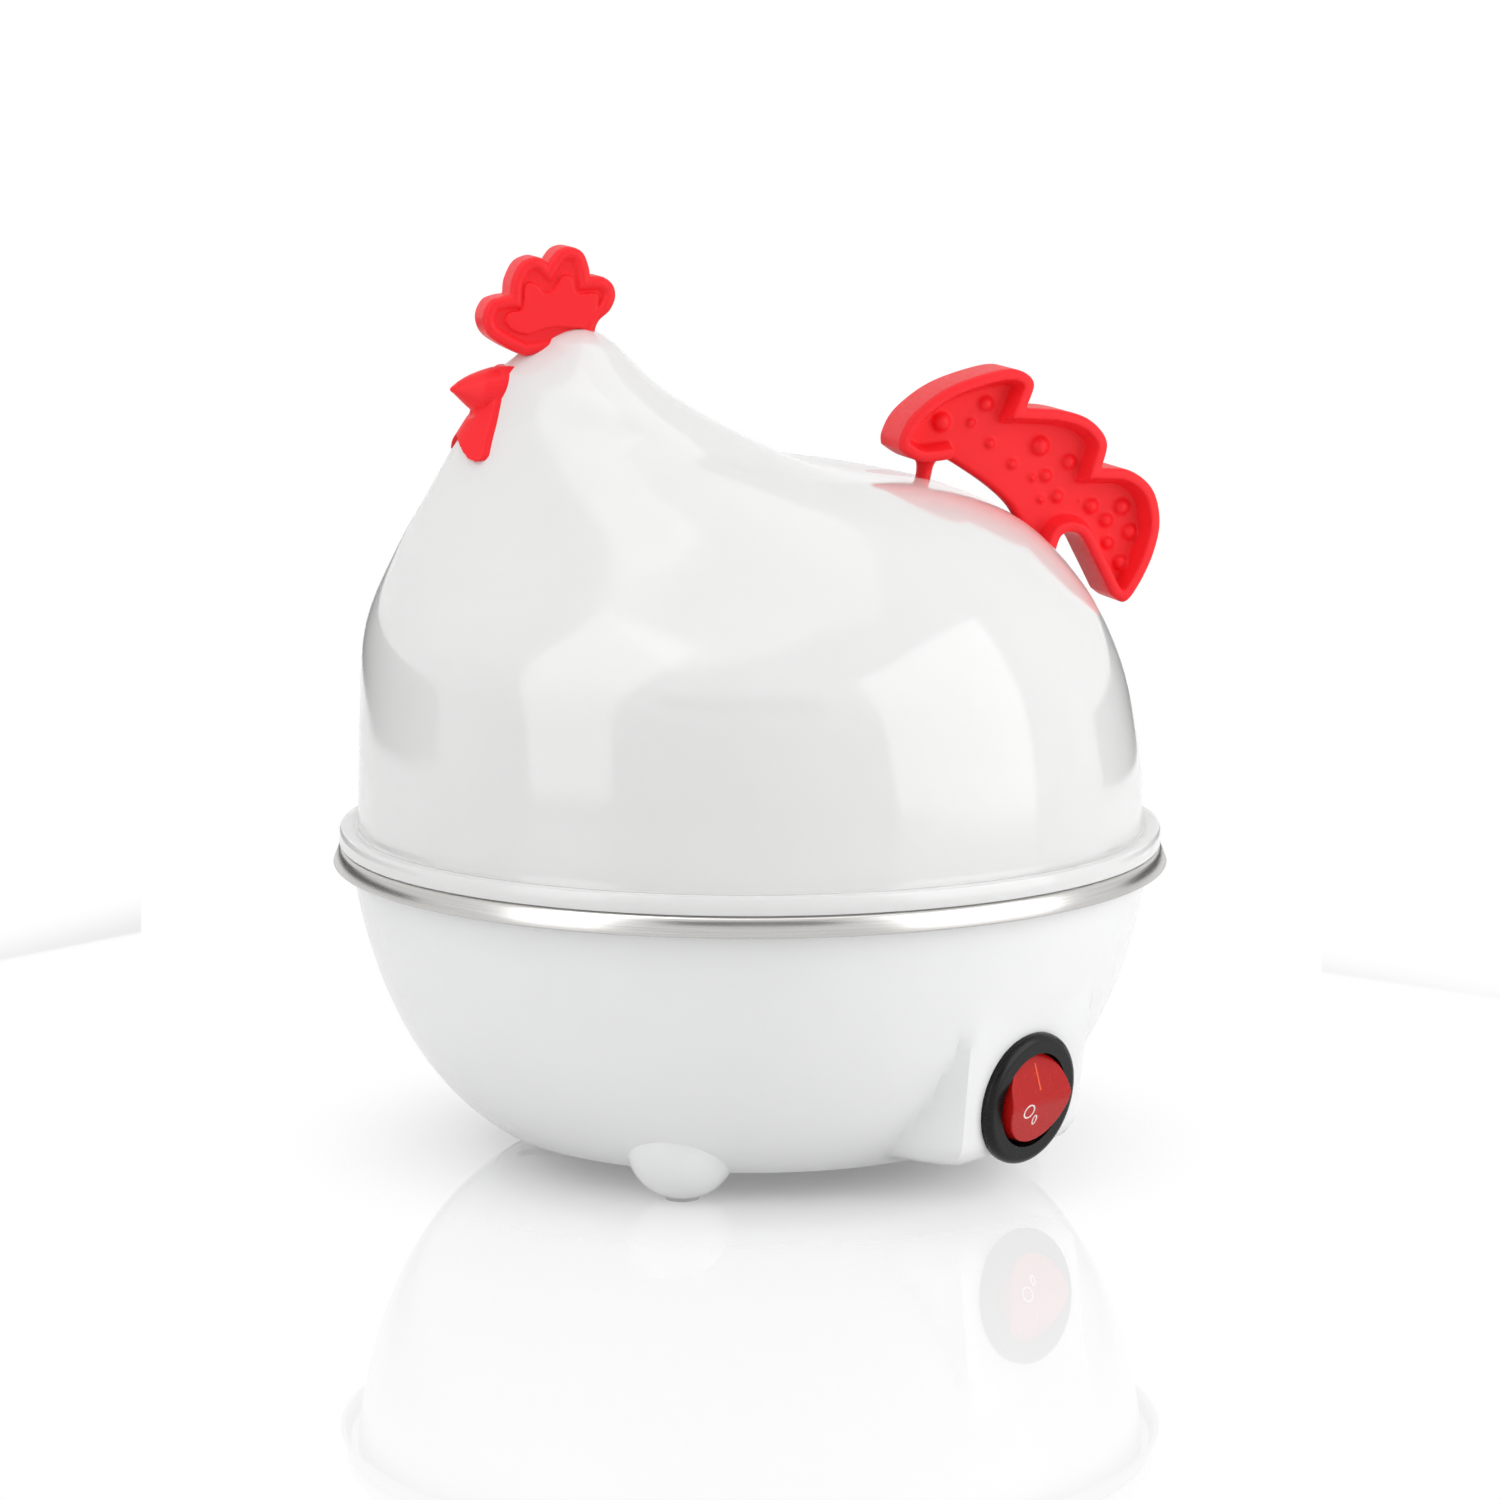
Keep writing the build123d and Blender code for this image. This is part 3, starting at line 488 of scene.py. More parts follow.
# ---------------------------------------------------------------- tail
# Runs of the tail's outline from the tail box's rear top corner, clockwise from the front tip.
# Each has its points, whether the raised rim runs along it, and the width of the sloped wall inside the rim.
TAIL_RUNS = [
    ([(-49.6, -14.0), (-49.5, -11.6), (-46.9, -7.4), (-40.2, -2.8), (-30.9, 0.0), (-26.4, -0.2), (-23.9, -2.6),
      (-25.4, -7.0)], True, 1.2),
    ([(-25.4, -7.0), (-18.4, -7.6), (-12.9, -9.6), (-9.7, -13.6), (-10.7, -18.4)], True, 1.2),
    ([(-10.7, -18.4), (-5.2, -19.0), (-0.7, -22.6), (0.8, -28.6), (-0.5, -34.8), (-3.4, -40.6), (-6.0, -43.4),
      (-8.6, -42.0)], True, 1.2),
    ([(-8.6, -42.0), (-12.0, -35.4), (-14.8, -30.7), (-18.2, -30.5), (-19.7, -34.3)], True, 1.0),
    ([(-19.7, -34.3), (-23.7, -31.1), (-26.8, -25.7), (-30.9, -21.8), (-36.4, -18.0), (-39.8, -16.0)], False, 1.0),
    ([(-39.8, -16.0), (-45.5, -16.3), (-49.6, -14.0)], True, 1.0),
]
TAIL_BEADS = [  # x, z and radius from the same corner
    (-40.5, -9.5, 1.7), (-32.0, -6.4, 1.3), (-34.8, -9.8, 0.8), (-31.1, -13.7, 0.9), (-26.9, -17.6, 0.9),
    (-21.5, -14.4, 1.7), (-15.9, -17.5, 1.3), (-20.3, -19.9, 1.1), (-22.8, -20.2, 0.7), (-18.1, -23.8, 1.1),
    (-21.3, -24.2, 0.7), (-11.4, -25.8, 1.3), (-5.5, -26.1, 1.4), (-8.5, -28.5, 1.2), (-3.9, -30.8, 1.4),
    (-8.2, -32.7, 1.1), (-5.6, -36.5, 1.4), (-13.6, -24.8, 0.3),
]
BEAD_SCALE = (1.05, 1.05, 0.95)
TAIL_EDGE = 1.0
TAIL_POST = [(-24.0, 1.3), (-18.6, 1.35), (-17.2, 1.6), (-16.3, 2.1), (-15.4, 2.2)]    # height and radius along it
TAIL_POST_AT = (-42.6, -16.0)                   # its place from the same corner
TAIL_POST_LEAN, TAIL_POST_DEPTH = 0.2, 1.4      # its lean, and how much deeper it is than wide


class EGG_COOKER_OT_tail(bpy.types.Operator):
    """Red tail: a three-lobed plate with a raised rim, a sunk and beaded face on both sides and a front post"""
    bl_idname = "egg_cooker.tail"
    bl_label = "Tail"

    def execute(self, context):
        place = top_corner("tail_handle", front=False)
        half = settings().tail_thickness / MM / 2
        web = settings().tail_web / MM / 2
        rim = settings().tail_rim / MM
        loop, tops, slopes = [], [], []
        for points, rimmed, slope in TAIL_RUNS:
            run = [point + place for point in curve_points(points, 6)]
            loop += run
            tops += [half if rimmed else web] * len(run)
            slopes += [slope] * len(run)
        layers = [([inset] * len(loop), [top - drop for top in tops]) for inset, drop in rounded_edge(TAIL_EDGE)]
        layers.append(([rim] * len(loop), tops))
        layers.append(([rim + slope for slope in slopes], [web] * len(loop)))
        plate = two_sided(loop, layers, "tail_plate")
        beads = self.beads(place, web)
        tail = fused([plate, self.post(place), beads], "tail_moulding", TAIL_GRAIN)
        combine(tail, hen_solid(ROOT_DEPTH, "back_cutter"), "DIFFERENCE")
        smooth(tail, SOFT_SHADING)
        tail.data.materials.append(red_plastic())
        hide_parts("tail_handle")
        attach(tail, "lid")
        return {"FINISHED"}

    def beads(self, place, web):
        """Low domes on both faces of the web."""
        made = []
        for x, z, radius in TAIL_BEADS:
            for side in (-1, 1):
                object_mode()
                bpy.ops.mesh.primitive_uv_sphere_add(
                    segments=20, ring_count=10, radius=radius * MM, rotation=(math.pi / 2, 0, 0),
                    location=((place.x + x) * MM, side * web * MM, (place.y + z) * MM))
                bpy.context.object.scale = BEAD_SCALE
                made.append(smooth(settle(named("tail_bead"))))
        return merged(made, "tail_beads")

    def post(self, place):
        """Front post with a flared top."""
        turns = [math.radians(15 * i) for i in range(24)]
        at_x, at_z = TAIL_POST_AT
        rings = []
        for z, radius in TAIL_POST:
            x = place.x + at_x + (z - at_z) * TAIL_POST_LEAN
            rings.append([Vector((x + radius * math.cos(a), TAIL_POST_DEPTH * radius * math.sin(a), place.y + z)) * MM
                          for a in turns])
        return loft(rings, "tail_post")


# ---------------------------------------------------------------- bowl, feet and switch boss
BOWL = [(47.0, 5.0), (48.56, 6.03), (50.53, 7.48), (52.95, 9.53), (55.51, 12.05), (58.05, 14.99), (60.59, 18.47),
        (63.07, 22.52), (65.35, 27.01), (67.46, 32.06), (69.29, 37.51), (70.87, 43.49), (71.99, 48.99), (72.8, 54.4)]
BOWL_WALL = 2.5
BOWL_CURL = [(-1.6, 0.0), (-0.7, 0.08), (0.1, 0.45)]    # its foot's rounding, from the first point
BOSS_TURN = 32.0            # degrees round from the front
BOSS_FACE = 65.0            # face from the axis at the switch's height
BOSS_HEIGHT = 18.0
BOSS_LOW = 6.8              # its underside
BOSS_HALF = 17.2            # half width of its face
BOSS_SLANT = 7.0            # degrees that its sides spread towards the bowl
BOSS_TOP = 30.0             # above this the face bends back into the bowl
BOSS_BEND = 0.02
BOSS_FADE = (36.0, 50.0)    # heights over which the last of it melts away
BOSS_REACH = 60.0           # degrees to either side that it may take up
BOSS_EDGE = 5.0             # rounding under the boss
BOSS_UNDERCUT = 12.0        # how fast it draws in below its underside
BOSS_CORNER = 5.0           # softness of its upright edges
BOSS_NARROWING = (0.6, 0.55)    # shares of a pull inwards by which its face and its sides draw in
BOSS_BLEND = 1.2            # softness of its meeting with the bowl
FOOT_CIRCLE, FOOT_RADIUS, FOOT_TURN, FOOT_FLAT, PAD_HOLE = 46.0, 10.0, -31.0, 0.8, (3.0, 1.6)
POST_CIRCLE, POST_TURN, POST_HOLE, POST_OUTER, POST_TOP, HEAD_HOLE = 41.0, 2.0, 1.6, 5.5, 12.0, (3.4, 7.5)
SWITCH_HOLE, GLAND_HOLE, BORE_LENGTH = 10.1, 5.1, 24.0


def tube(radius, low, high, turn, reach, name):
    """Upright round bar, from heights and a place round the axis in millimetres and degrees."""
    object_mode()
    place = around(turn, 0, reach * MM)
    bpy.ops.mesh.primitive_cylinder_add(vertices=48, radius=radius * MM, depth=(high - low) * MM,
                                        location=(place.x, place.y, (low + high) / 2 * MM))
    return settle(named(name))


class EGG_COOKER_OT_bowl(bpy.types.Operator):
    """White bowl: one hollow moulding with the softly blended switch boss, three ball feet and screw pillars"""
    bl_idname = "egg_cooker.bowl"
    bl_label = "Bowl"

    def execute(self, context):
        bowl = self.skin(0, "bowl_moulding")
        for i in range(3):
            combine(bowl, self.foot(FOOT_TURN + 120 * i), "UNION")
        combine(bowl, self.skin(BOWL_WALL, "bowl_room"), "DIFFERENCE")
        floor = BOWL[0][1] + BOWL_WALL
        for i in range(3):
            turn = POST_TURN + 120 * i
            combine(bowl, tube(POST_OUTER, floor - 1, POST_TOP, turn, POST_CIRCLE, "pillar"), "UNION")
            combine(bowl, tube(POST_HOLE, 0, POST_TOP + 1, turn, POST_CIRCLE, "screw_hole"), "DIFFERENCE")
            combine(bowl, tube(HEAD_HOLE[0], 0, HEAD_HOLE[1], turn, POST_CIRCLE, "head_hole"), "DIFFERENCE")
        pivot, _, _, outward = switch_axes()
        mount = next(m for m in frame["record"]["mounts"] if m["name"] == "cord_bore")
        for radius, place, axis in ((SWITCH_HOLE, pivot, outward),
                                    (GLAND_HOLE, Vector(mount["pos_m"]), Vector(mount["axis"]))):
            combine(bowl, self.bore(radius, place, axis), "DIFFERENCE")
        smooth(bowl, 32)
        bowl.data.materials.append(white_plastic())
        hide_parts("base_housing")
        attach(bowl, "base")
        return {"FINISHED"}

    def skin(self, inset, name):
        """The bowl's outer form, or the room inside it, which stays open at the top."""
        line = curve_points(BOWL, 3) + [Vector(BOWL[-1])]
        rings = []
        for i, (radius, height) in enumerate(line):
            run = (line[min(i + 1, len(line) - 1)] - line[max(i - 1, 0)]).normalized()
            rings.append((radius - run.y * inset, height + run.x * inset))
        if inset:
            low = BOWL[0][1] + inset
            rings = [(rings[0][0], low)] + [ring for ring in rings if ring[1] > low + 0.2]
            rings.append((BOWL[-1][0] - inset, BOWL[-1][1] + 2))
        foot = rings[0]
        rings[:1] = [(foot[0] + out, foot[1] + up) for out, up in BOWL_CURL]
        return loft([self.ring(radius, height, inset) for radius, height in rings], name)

    def ring(self, radius, height, inset):
        """The bowl's outline at a height, with the boss's outline melted into it."""
        count = 2 * settings().round_segments
        low = BOSS_LOW + inset
        under = max(BOSS_EDGE - (height - low), 0)
        pull = inset + BOSS_EDGE - math.sqrt(max(BOSS_EDGE ** 2 - under ** 2, 0)) \
            + BOSS_UNDERCUT * max(low - height, 0)
        face = BOSS_FACE + (height - BOSS_HEIGHT) * math.tan(settings().switch_tilt) - pull \
            - BOSS_BEND * max(height - BOSS_TOP, 0) ** 2
        slant = math.radians(BOSS_SLANT)
        of_face, of_sides = BOSS_NARROWING
        side = (BOSS_HALF - pull * of_face) * math.cos(slant) + (face + pull) * math.sin(slant) - pull * of_sides
        fade = 1 - soft_step(height, *BOSS_FADE)
        points = []
        for i in range(count):
            turn = 360 * i / count
            off = math.radians((turn - BOSS_TURN + 180) % 360 - 180)
            reach = radius
            if abs(off) < math.radians(BOSS_REACH) and fade > 0:
                wall = side / (abs(math.sin(off)) * math.cos(slant) + math.cos(off) * math.sin(slant))
                boss = -soft_max(-face / math.cos(off), -wall, BOSS_CORNER)
                reach = radius + (soft_max(radius, boss, BOSS_BLEND) - radius) * fade
            points.append(around(turn, 0, reach * MM) + Vector((0, 0, height * MM)))
        return points

    def foot(self, turn):
        """Ball foot with a flat underside and the round recess of its pad."""
        object_mode()
        place = around(turn, 0, FOOT_CIRCLE * MM)
        bpy.ops.mesh.primitive_uv_sphere_add(segments=64, ring_count=40, radius=FOOT_RADIUS * MM,
                                             location=(place.x, place.y, FOOT_RADIUS * MM))
        ball = settle(named("foot"))
        bpy.ops.object.mode_set(mode="EDIT")
        bpy.ops.mesh.select_mode(type="VERT")
        bpy.ops.mesh.select_all(action="SELECT")
        bpy.ops.mesh.bisect(plane_co=(0, 0, FOOT_FLAT * MM), plane_no=(0, 0, 1), use_fill=True, clear_inner=True)
        object_mode()
        return combine(ball, tube(PAD_HOLE[0], 0, PAD_HOLE[1], turn, FOOT_CIRCLE, "pad_hole"), "DIFFERENCE")

    def bore(self, radius, place, axis):
        """Round cutter through the wall along an axis."""
        object_mode()
        bpy.ops.mesh.primitive_cylinder_add(vertices=64, radius=radius * MM, depth=BORE_LENGTH * MM, location=place,
                                            rotation=axis.to_track_quat("Z", "Y").to_euler())
        return settle(named("bore"))


# ---------------------------------------------------------------- pan
# Its upper side as radius and height, the sheet's thickness, its bends, and the hem at the rim's lower edge.
PAN_LINE = [(0.6, 42.0), (58.0, 42.0), (64.0, 56.4), (74.8, 56.4), (76.0, 53.2)]
PAN_SHEET, PAN_BEND, PAN_HEM = 0.8, 1.2, 0.22
HEM_CURVE = [(0.2, 0.7), (0.5, 1.0), (0.8, 0.7)]    # shares across the sheet and out of it


def bent_line(points, bend, steps=7):
    """A line through points, with the corners between its ends rounded."""
    line = [Vector(points[0])]
    for before, corner_point, after in zip(points, points[1:], points[2:]):
        spot = Vector(corner_point)
        into = (spot - Vector(before)).normalized()
        out = (Vector(after) - spot).normalized()
        cut = bend * math.tan(into.angle(out) / 2)
        start, end = spot - into * cut, spot + out * cut
        for i in range(steps):
            t = i / (steps - 1)
            line.append(start * (1 - t) ** 2 + spot * 2 * t * (1 - t) + end * t ** 2)
    return line + [Vector(points[-1])]


class EGG_COOKER_OT_pan(bpy.types.Operator):
    """Steel pan: a pressed dish whose rim turns down over the bowl's lip and ends in a soft hem"""
    bl_idname = "egg_cooker.pan"
    bl_label = "Pan"

    def execute(self, context):
        upper = bent_line(PAN_LINE, PAN_BEND)
        lower = []
        for i, point in enumerate(upper):
            run = (upper[min(i + 1, len(upper) - 1)] - upper[max(i - 1, 0)]).normalized()
            lower.append(point + Vector((run.y, -run.x)) * PAN_SHEET)
        across = lower[-1] - upper[-1]
        tip = (upper[-1] - upper[-2]).normalized() * PAN_HEM
        hem = [upper[-1] + across * share + tip * out for share, out in HEM_CURVE]
        count = 2 * settings().round_segments
        rings = [[around(360 * i / count, 0, point.x * MM) + Vector((0, 0, point.y * MM)) for i in range(count)]
                 for point in upper + hem + list(reversed(lower))]
        pan = smooth(loft(rings, "pan"), 50)
        pan.data.materials.append(brushed_steel())
        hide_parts("heating_pan")
        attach(pan, "base")
        return {"FINISHED"}


# ---------------------------------------------------------------- switch
ROCKER_SLOPE, ROCKER_REST, ROCKER_RIDGE = 20.0, -7.0, 6.2    # degrees, degrees, millimetres from the pivot
MARK_ROOT, MARK_LIFT = -0.25, 0.06      # millimetres off the facet
ON_LINE = [(-0.36, 1.8), (-0.06, 1.8), (0.16, 6.6), (-0.14, 6.6)]
# The first is the printed off ring. The second, smaller one is a painted glint: a copy that stands in for the ring's
# image seen through the rocker's other facet.
OFF_RING_AND_GLINT = [((-3.2, -1.8, 1.45, 1.4), (-3.2, -1.8, 1.17, 1.12)), ((-0.9, -3.9, 0.62, 1.0), (-0.9, -3.9, 0.36, 0.74))]


def switch_axes():
    """The switch's place on its face, with its across, up and outward directions."""
    joint = next(j for j in frame["record"]["behaviour"]["joints"] if j["name"] == "rocker_tilt")
    across = Vector(joint["axis"]).normalized()
    level = across.cross(Vector((0, 0, 1)))
    tilt = settings().switch_tilt
    outward = level * math.cos(tilt) - Vector((0, 0, 1)) * math.sin(tilt)
    return Vector(joint["pos_m"]), across, outward.cross(across), outward


def on_rocker(x, y, lift):
    """A point on the rocker's surface, y millimetres up from its ridge along the facet."""
    pivot, across, up, outward = switch_axes()
    slope = math.radians(ROCKER_SLOPE)
    turn = math.radians(ROCKER_REST)
    local = Vector((x, y * math.cos(slope), ROCKER_RIDGE - abs(y) * math.sin(slope) + lift * math.cos(slope)))
    turned_y = local.y * math.cos(turn) - local.z * math.sin(turn)
    turned_z = local.y * math.sin(turn) + local.z * math.cos(turn)
    return pivot + (across * local.x + up * turned_y + outward * turned_z) * MM


def rocker_mark(outer, inner, name):
    """A thin raised mark inside a loop of (x, y) points on the rocker, or between two loops."""
    lifts = [(outer, MARK_ROOT), (outer, MARK_LIFT)]
    if inner:
        lifts += [(inner, MARK_LIFT), (inner, MARK_ROOT)]
    return loft([[on_rocker(x, y, lift) for x, y in loop] for loop, lift in lifts], name)


def ellipse(cx, cy, rx, ry, count=40):
    return [(cx + rx * math.cos(2 * math.pi * i / count), cy + ry * math.sin(2 * math.pi * i / count))
            for i in range(count)]


def softened_copy(node, name, grain):
    """A merged copy of a CAD node with softened edges, which then stands for it."""
    object_mode()
    source = frame["nodes"][node]
    source.select_set(True)
    bpy.context.view_layer.objects.active = source
    bpy.ops.object.duplicate()
    piece = bpy.context.object
    piece.name = name
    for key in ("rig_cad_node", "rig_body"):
        if key in piece:
            del piece[key]
    world = piece.matrix_world.copy()
    piece.parent = None
    piece.matrix_world = world
    piece.data.materials.clear()
    pick(piece)
    bpy.ops.mesh.customdata_custom_splitnormals_clear()
    face_out(piece)
    modify(piece, "REMESH", mode="VOXEL", voxel_size=grain * MM)
    modify(piece, "SMOOTH", factor=0.5, iterations=3)
    return smooth(piece, SOFT_SHADING)


class EGG_COOKER_OT_switch(bpy.types.Operator):
    """Rocker with softened edges, its plain on and off marks, and a painted glint of the off ring"""
    bl_idname = "egg_cooker.switch"
    bl_label = "Switch"

    def execute(self, context):
        rocker = softened_copy("switch_rocker", "rocker", ROCKER_GRAIN)
        rocker.data.materials.append(clear_red())
        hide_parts("switch_rocker")
        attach(rocker, "rocker")
        on_mark = rocker_mark(ON_LINE, None, "mark_on")
        # the printed off ring and its painted glint, a smaller copy that stands in for the ring's image seen through
        # the other facet
        rings = [rocker_mark(ellipse(*outer), ellipse(*inner), "mark_off_ring_and_glint") for outer, inner in OFF_RING_AND_GLINT]
        off_mark_and_glint = merged(rings, "mark_off_and_glint")
        on_mark.data.materials.append(mark_paint("on_mark", colours().on_mark))
        off_mark_and_glint.data.materials.append(mark_paint("off_mark_and_glint", colours().off_mark_and_glint))
        for mark in (on_mark, off_mark_and_glint):
            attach(mark, "rocker")
        return {"FINISHED"}


# ---------------------------------------------------------------- finishes
def fill(tree, node, *values, **named):
    """Sets a node's inputs to numbers or from other nodes' outputs; a name is written with _ for a space."""
    sockets = list(node.inputs)[:len(values)] + [node.inputs[name.replace("_", " ")] for name in named]
    for socket, value in zip(sockets, (*values, *named.values())):
        if isinstance(value, bpy.types.NodeSocket):
            tree.links.new(value, socket)
        else:
            socket.default_value = value
    return node


def add(tree, kind, *values, how=(), **named):
    """Adds a shader node with its options, and fills its inputs."""
    node = tree.nodes.new("ShaderNode" + kind)
    for option, choice in how:
        setattr(node, option, choice)
    return fill(tree, node, *values, **named)


def new_material(name):
    """A material with its tree and shader, and the piece's own place."""
    material = bpy.data.materials.new(name)
    material.use_nodes = True
    tree = material.node_tree
    return material, tree, tree.nodes["Principled BSDF"], add(tree, "TexCoord").outputs["Object"]


def noise(tree, where, scale, detail=3.0, stretch=(1, 1, 1)):
    """Noise on the piece's own coordinates, at a scale in 1/m, stretched along its axes."""
    place = add(tree, "Mapping", Vector=where, Scale=stretch).outputs["Vector"]
    return add(tree, "TexNoise", Vector=place, Scale=scale, Detail=detail).outputs["Fac"]


def calc(tree, operation, *values):
    """A Math node's result, from sockets and numbers."""
    return add(tree, "Math", *values, how=[("operation", operation)]).outputs["Value"]


def remapped(tree, value, start, end, low, high, soft=False):
    """The value's start to end spread over low to high."""
    how = [("interpolation_type", "SMOOTHSTEP")] if soft else []
    return add(tree, "MapRange", how=how, Value=value, From_Min=start, From_Max=end,
               To_Min=low, To_Max=high).outputs["Result"]


def ranged(tree, value, low, high):
    """A noise, which keeps mostly between 0.3 and 0.7, spread over low to high."""
    return remapped(tree, value, 0.3, 0.7, low, high)


def length_of(tree, vector):
    return add(tree, "VectorMath", vector, how=[("operation", "LENGTH")]).outputs["Value"]


def joined(tree, **parts):
    return add(tree, "CombineXYZ", **parts).outputs["Vector"]


def shade(colour, share=1):
    """A colour's share, with full alpha."""
    return (*(c * share for c in colour), 1)


def tinted(tree, factor, dark, light):
    return add(tree, "Mix", how=[("data_type", "RGBA")], Factor=factor, A=dark, B=light).outputs["Result"]


def bumped(tree, height, depth, strength):
    return add(tree, "Bump", Strength=strength, Distance=depth, Height=height).outputs["Normal"]


FLOW_SCALE, FLOW_SHADE = 25, 0.965      # flow marks in moulded plastic: scale in 1/m and darkest share of the colour
GLOSS_SPREAD = (0.85, 1.2)              # least and greatest share of a plastic's roughness
SKIN_DETAIL, SKIN_STRENGTH = 4, 0.15
SCRATCH_SCALE, SCRATCH_DETAIL, SCRATCH_STRETCH = 900, 5, (1, 6, 1)
SCRATCH_SHADE, SCRATCH_SPREAD = 0.8, (0.8, 1.3)     # darkest share of a metal's colour, and shares of its roughness
SCRATCH_DEPTH, SCRATCH_STRENGTH = 0.02 * MM, 0.3
BRUSH_STRETCH, BRUSH_DETAIL = (4, 6000, 9000), 3    # lines per radian round the rim, and per metre across it
BRUSH_DARK, BRUSH_LIGHT, BRUSH_ROUGHNESS = (0.52, 0.51, 0.495), (0.6, 0.59, 0.575), (0.22, 0.28)
BRUSH_DEPTH, BRUSH_STRENGTH = 0.01 * MM, 0.2


def moulded(name, colour, roughness, grain=900, depth=0.02 * MM, **more):
    """Moulded plastic: faint flow marks in the colour, and a fine skin in gloss and relief."""
    material, tree, shader, where = new_material(name)
    flow = noise(tree, where, FLOW_SCALE)
    skin = noise(tree, where, grain, SKIN_DETAIL)
    fill(tree, shader,
         Base_Color=tinted(tree, ranged(tree, flow, 0, 1), shade(colour, FLOW_SHADE), shade(colour)),
         Roughness=ranged(tree, skin, *(roughness * share for share in GLOSS_SPREAD)),
         Normal=bumped(tree, skin, depth, SKIN_STRENGTH), **more)
    return material


def metal(name, colour, roughness):
    """Plain worked metal with fine scratches."""
    material, tree, shader, where = new_material(name)
    scratch = noise(tree, where, SCRATCH_SCALE, SCRATCH_DETAIL, SCRATCH_STRETCH)
    fill(tree, shader, Metallic=1.0,
         Base_Color=tinted(tree, ranged(tree, scratch, 0, 1), shade(colour, SCRATCH_SHADE), shade(colour)),
         Roughness=ranged(tree, scratch, *(roughness * share for share in SCRATCH_SPREAD)),
         Normal=bumped(tree, scratch, SCRATCH_DEPTH, SCRATCH_STRENGTH))
    return material


def once(make):
    """Keeps the first material that a maker returns."""
    kept = []

    def keeper():
        if not kept:
            kept.append(make())
        return kept[0]
    return keeper


STRIP_AHEAD = 3 * MM                    # how far the painted pink reaches past the strip's front end
STRIP_EDGE = (0.4 * MM, -0.5 * MM)      # where the painted pink's soft edge starts and ends, from the band's own edge


def paint_strip_seen_through(material):
    """Paints pink into the dome's colour where the red strip lies against it, standing in for the strip seen through
    the wall: a round-ended band along the centre plane.
    """
    tree = material.node_tree
    shader = tree.nodes["Principled BSDF"]
    low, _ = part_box("tail_strip")
    half = settings().painted_strip_band / 2
    spot = add(tree, "SeparateXYZ", Vector=add(tree, "TexCoord").outputs["Object"]).outputs
    off = {"Y": spot["Y"]}
    for axis, end in (("X", low.x + half - STRIP_AHEAD), ("Z", low.z + half)):
        off[axis] = calc(tree, "MAXIMUM", calc(tree, "SUBTRACT", end, spot[axis]), 0.0)
    outer, inner = STRIP_EDGE
    band = remapped(tree, length_of(tree, joined(tree, **off)), half + outer, half + inner, 0.0, 1.0, soft=True)
    base = shader.inputs["Base Color"].links[0].from_socket
    # painted: pink mixed into the dome's base colour stands in for the red strip seen through the wall
    fill(tree, shader, Base_Color=tinted(tree, band, base, shade(colours().painted_strip_tint)))


@once
def milky_plastic():
    """Milky, slightly see-through dome plastic with a glossy skin, and a painted pink band over the red strip."""
    material = moulded("milky_plastic", colours().dome, 0.1, 300, 0.01 * MM, Transmission_Weight=0.22, IOR=1.49,
                       Subsurface_Weight=0.25, Subsurface_Radius=(0.01, 0.01, 0.01))
    # painted pink band where the red strip shows through the wall
    paint_strip_seen_through(material)
    return material


@once
def white_plastic():
    """Glossy white bowl plastic."""
    return moulded("white_plastic", colours().bowl, 0.2, 300, 0.01 * MM,
                   Subsurface_Weight=0.1, Subsurface_Radius=(0.004, 0.004, 0.004))


@once
def red_plastic():
    """Red trim plastic, soft gloss."""
    return moulded("red_plastic", colours().trim, 0.42, 1400, 0.02 * MM, Specular_IOR_Level=0.18,
                   Subsurface_Weight=0.05, Subsurface_Radius=(0.002, 0.0004, 0.0003))


@once
def clear_red():
    """Clear red rocker plastic."""
    return moulded("clear_red", colours().rocker, 0.24, 600, 0.01 * MM,
                   Transmission_Weight=0.3, Specular_IOR_Level=0.12)


@once
def black_plastic():
    """Satin black bezel with a fine grain."""
    return moulded("black_plastic", colours().bezel, 0.26, 2600, 0.02 * MM, Specular_IOR_Level=0.22)


@once
def lamp_glass():
    """Clear orange glass of the switch's lamp."""
    return moulded("lamp_glass", (0.95, 0.6, 0.4), 0.05, Transmission_Weight=0.8)


def mark_paint(name, colour):
    """Printed mark, satin."""
    return moulded(name, colour, 0.4, 1800)


@once
def brushed_steel():
    """Steel brushed round the rim: fine rings in height and radius, long along the rim."""
    material, tree, shader, where = new_material("brushed_steel")
    spot = add(tree, "SeparateXYZ", Vector=where).outputs
    turn = calc(tree, "ARCTAN2", spot["Y"], spot["X"])
    lines = noise(tree, joined(tree, X=turn, Y=length_of(tree, where), Z=spot["Z"]), 1.0, BRUSH_DETAIL, BRUSH_STRETCH)
    fill(tree, shader, Metallic=1.0,
         Base_Color=tinted(tree, ranged(tree, lines, 0, 1), shade(BRUSH_DARK), shade(BRUSH_LIGHT)),
         Roughness=ranged(tree, lines, *BRUSH_ROUGHNESS), Normal=bumped(tree, lines, BRUSH_DEPTH, BRUSH_STRENGTH))
    return material


def plain(*how):
    """Maker of a plastic or rubber with nothing more to it."""
    return once(lambda: moulded(*how))


def plain_metal(*how):
    return once(lambda: metal(*how))


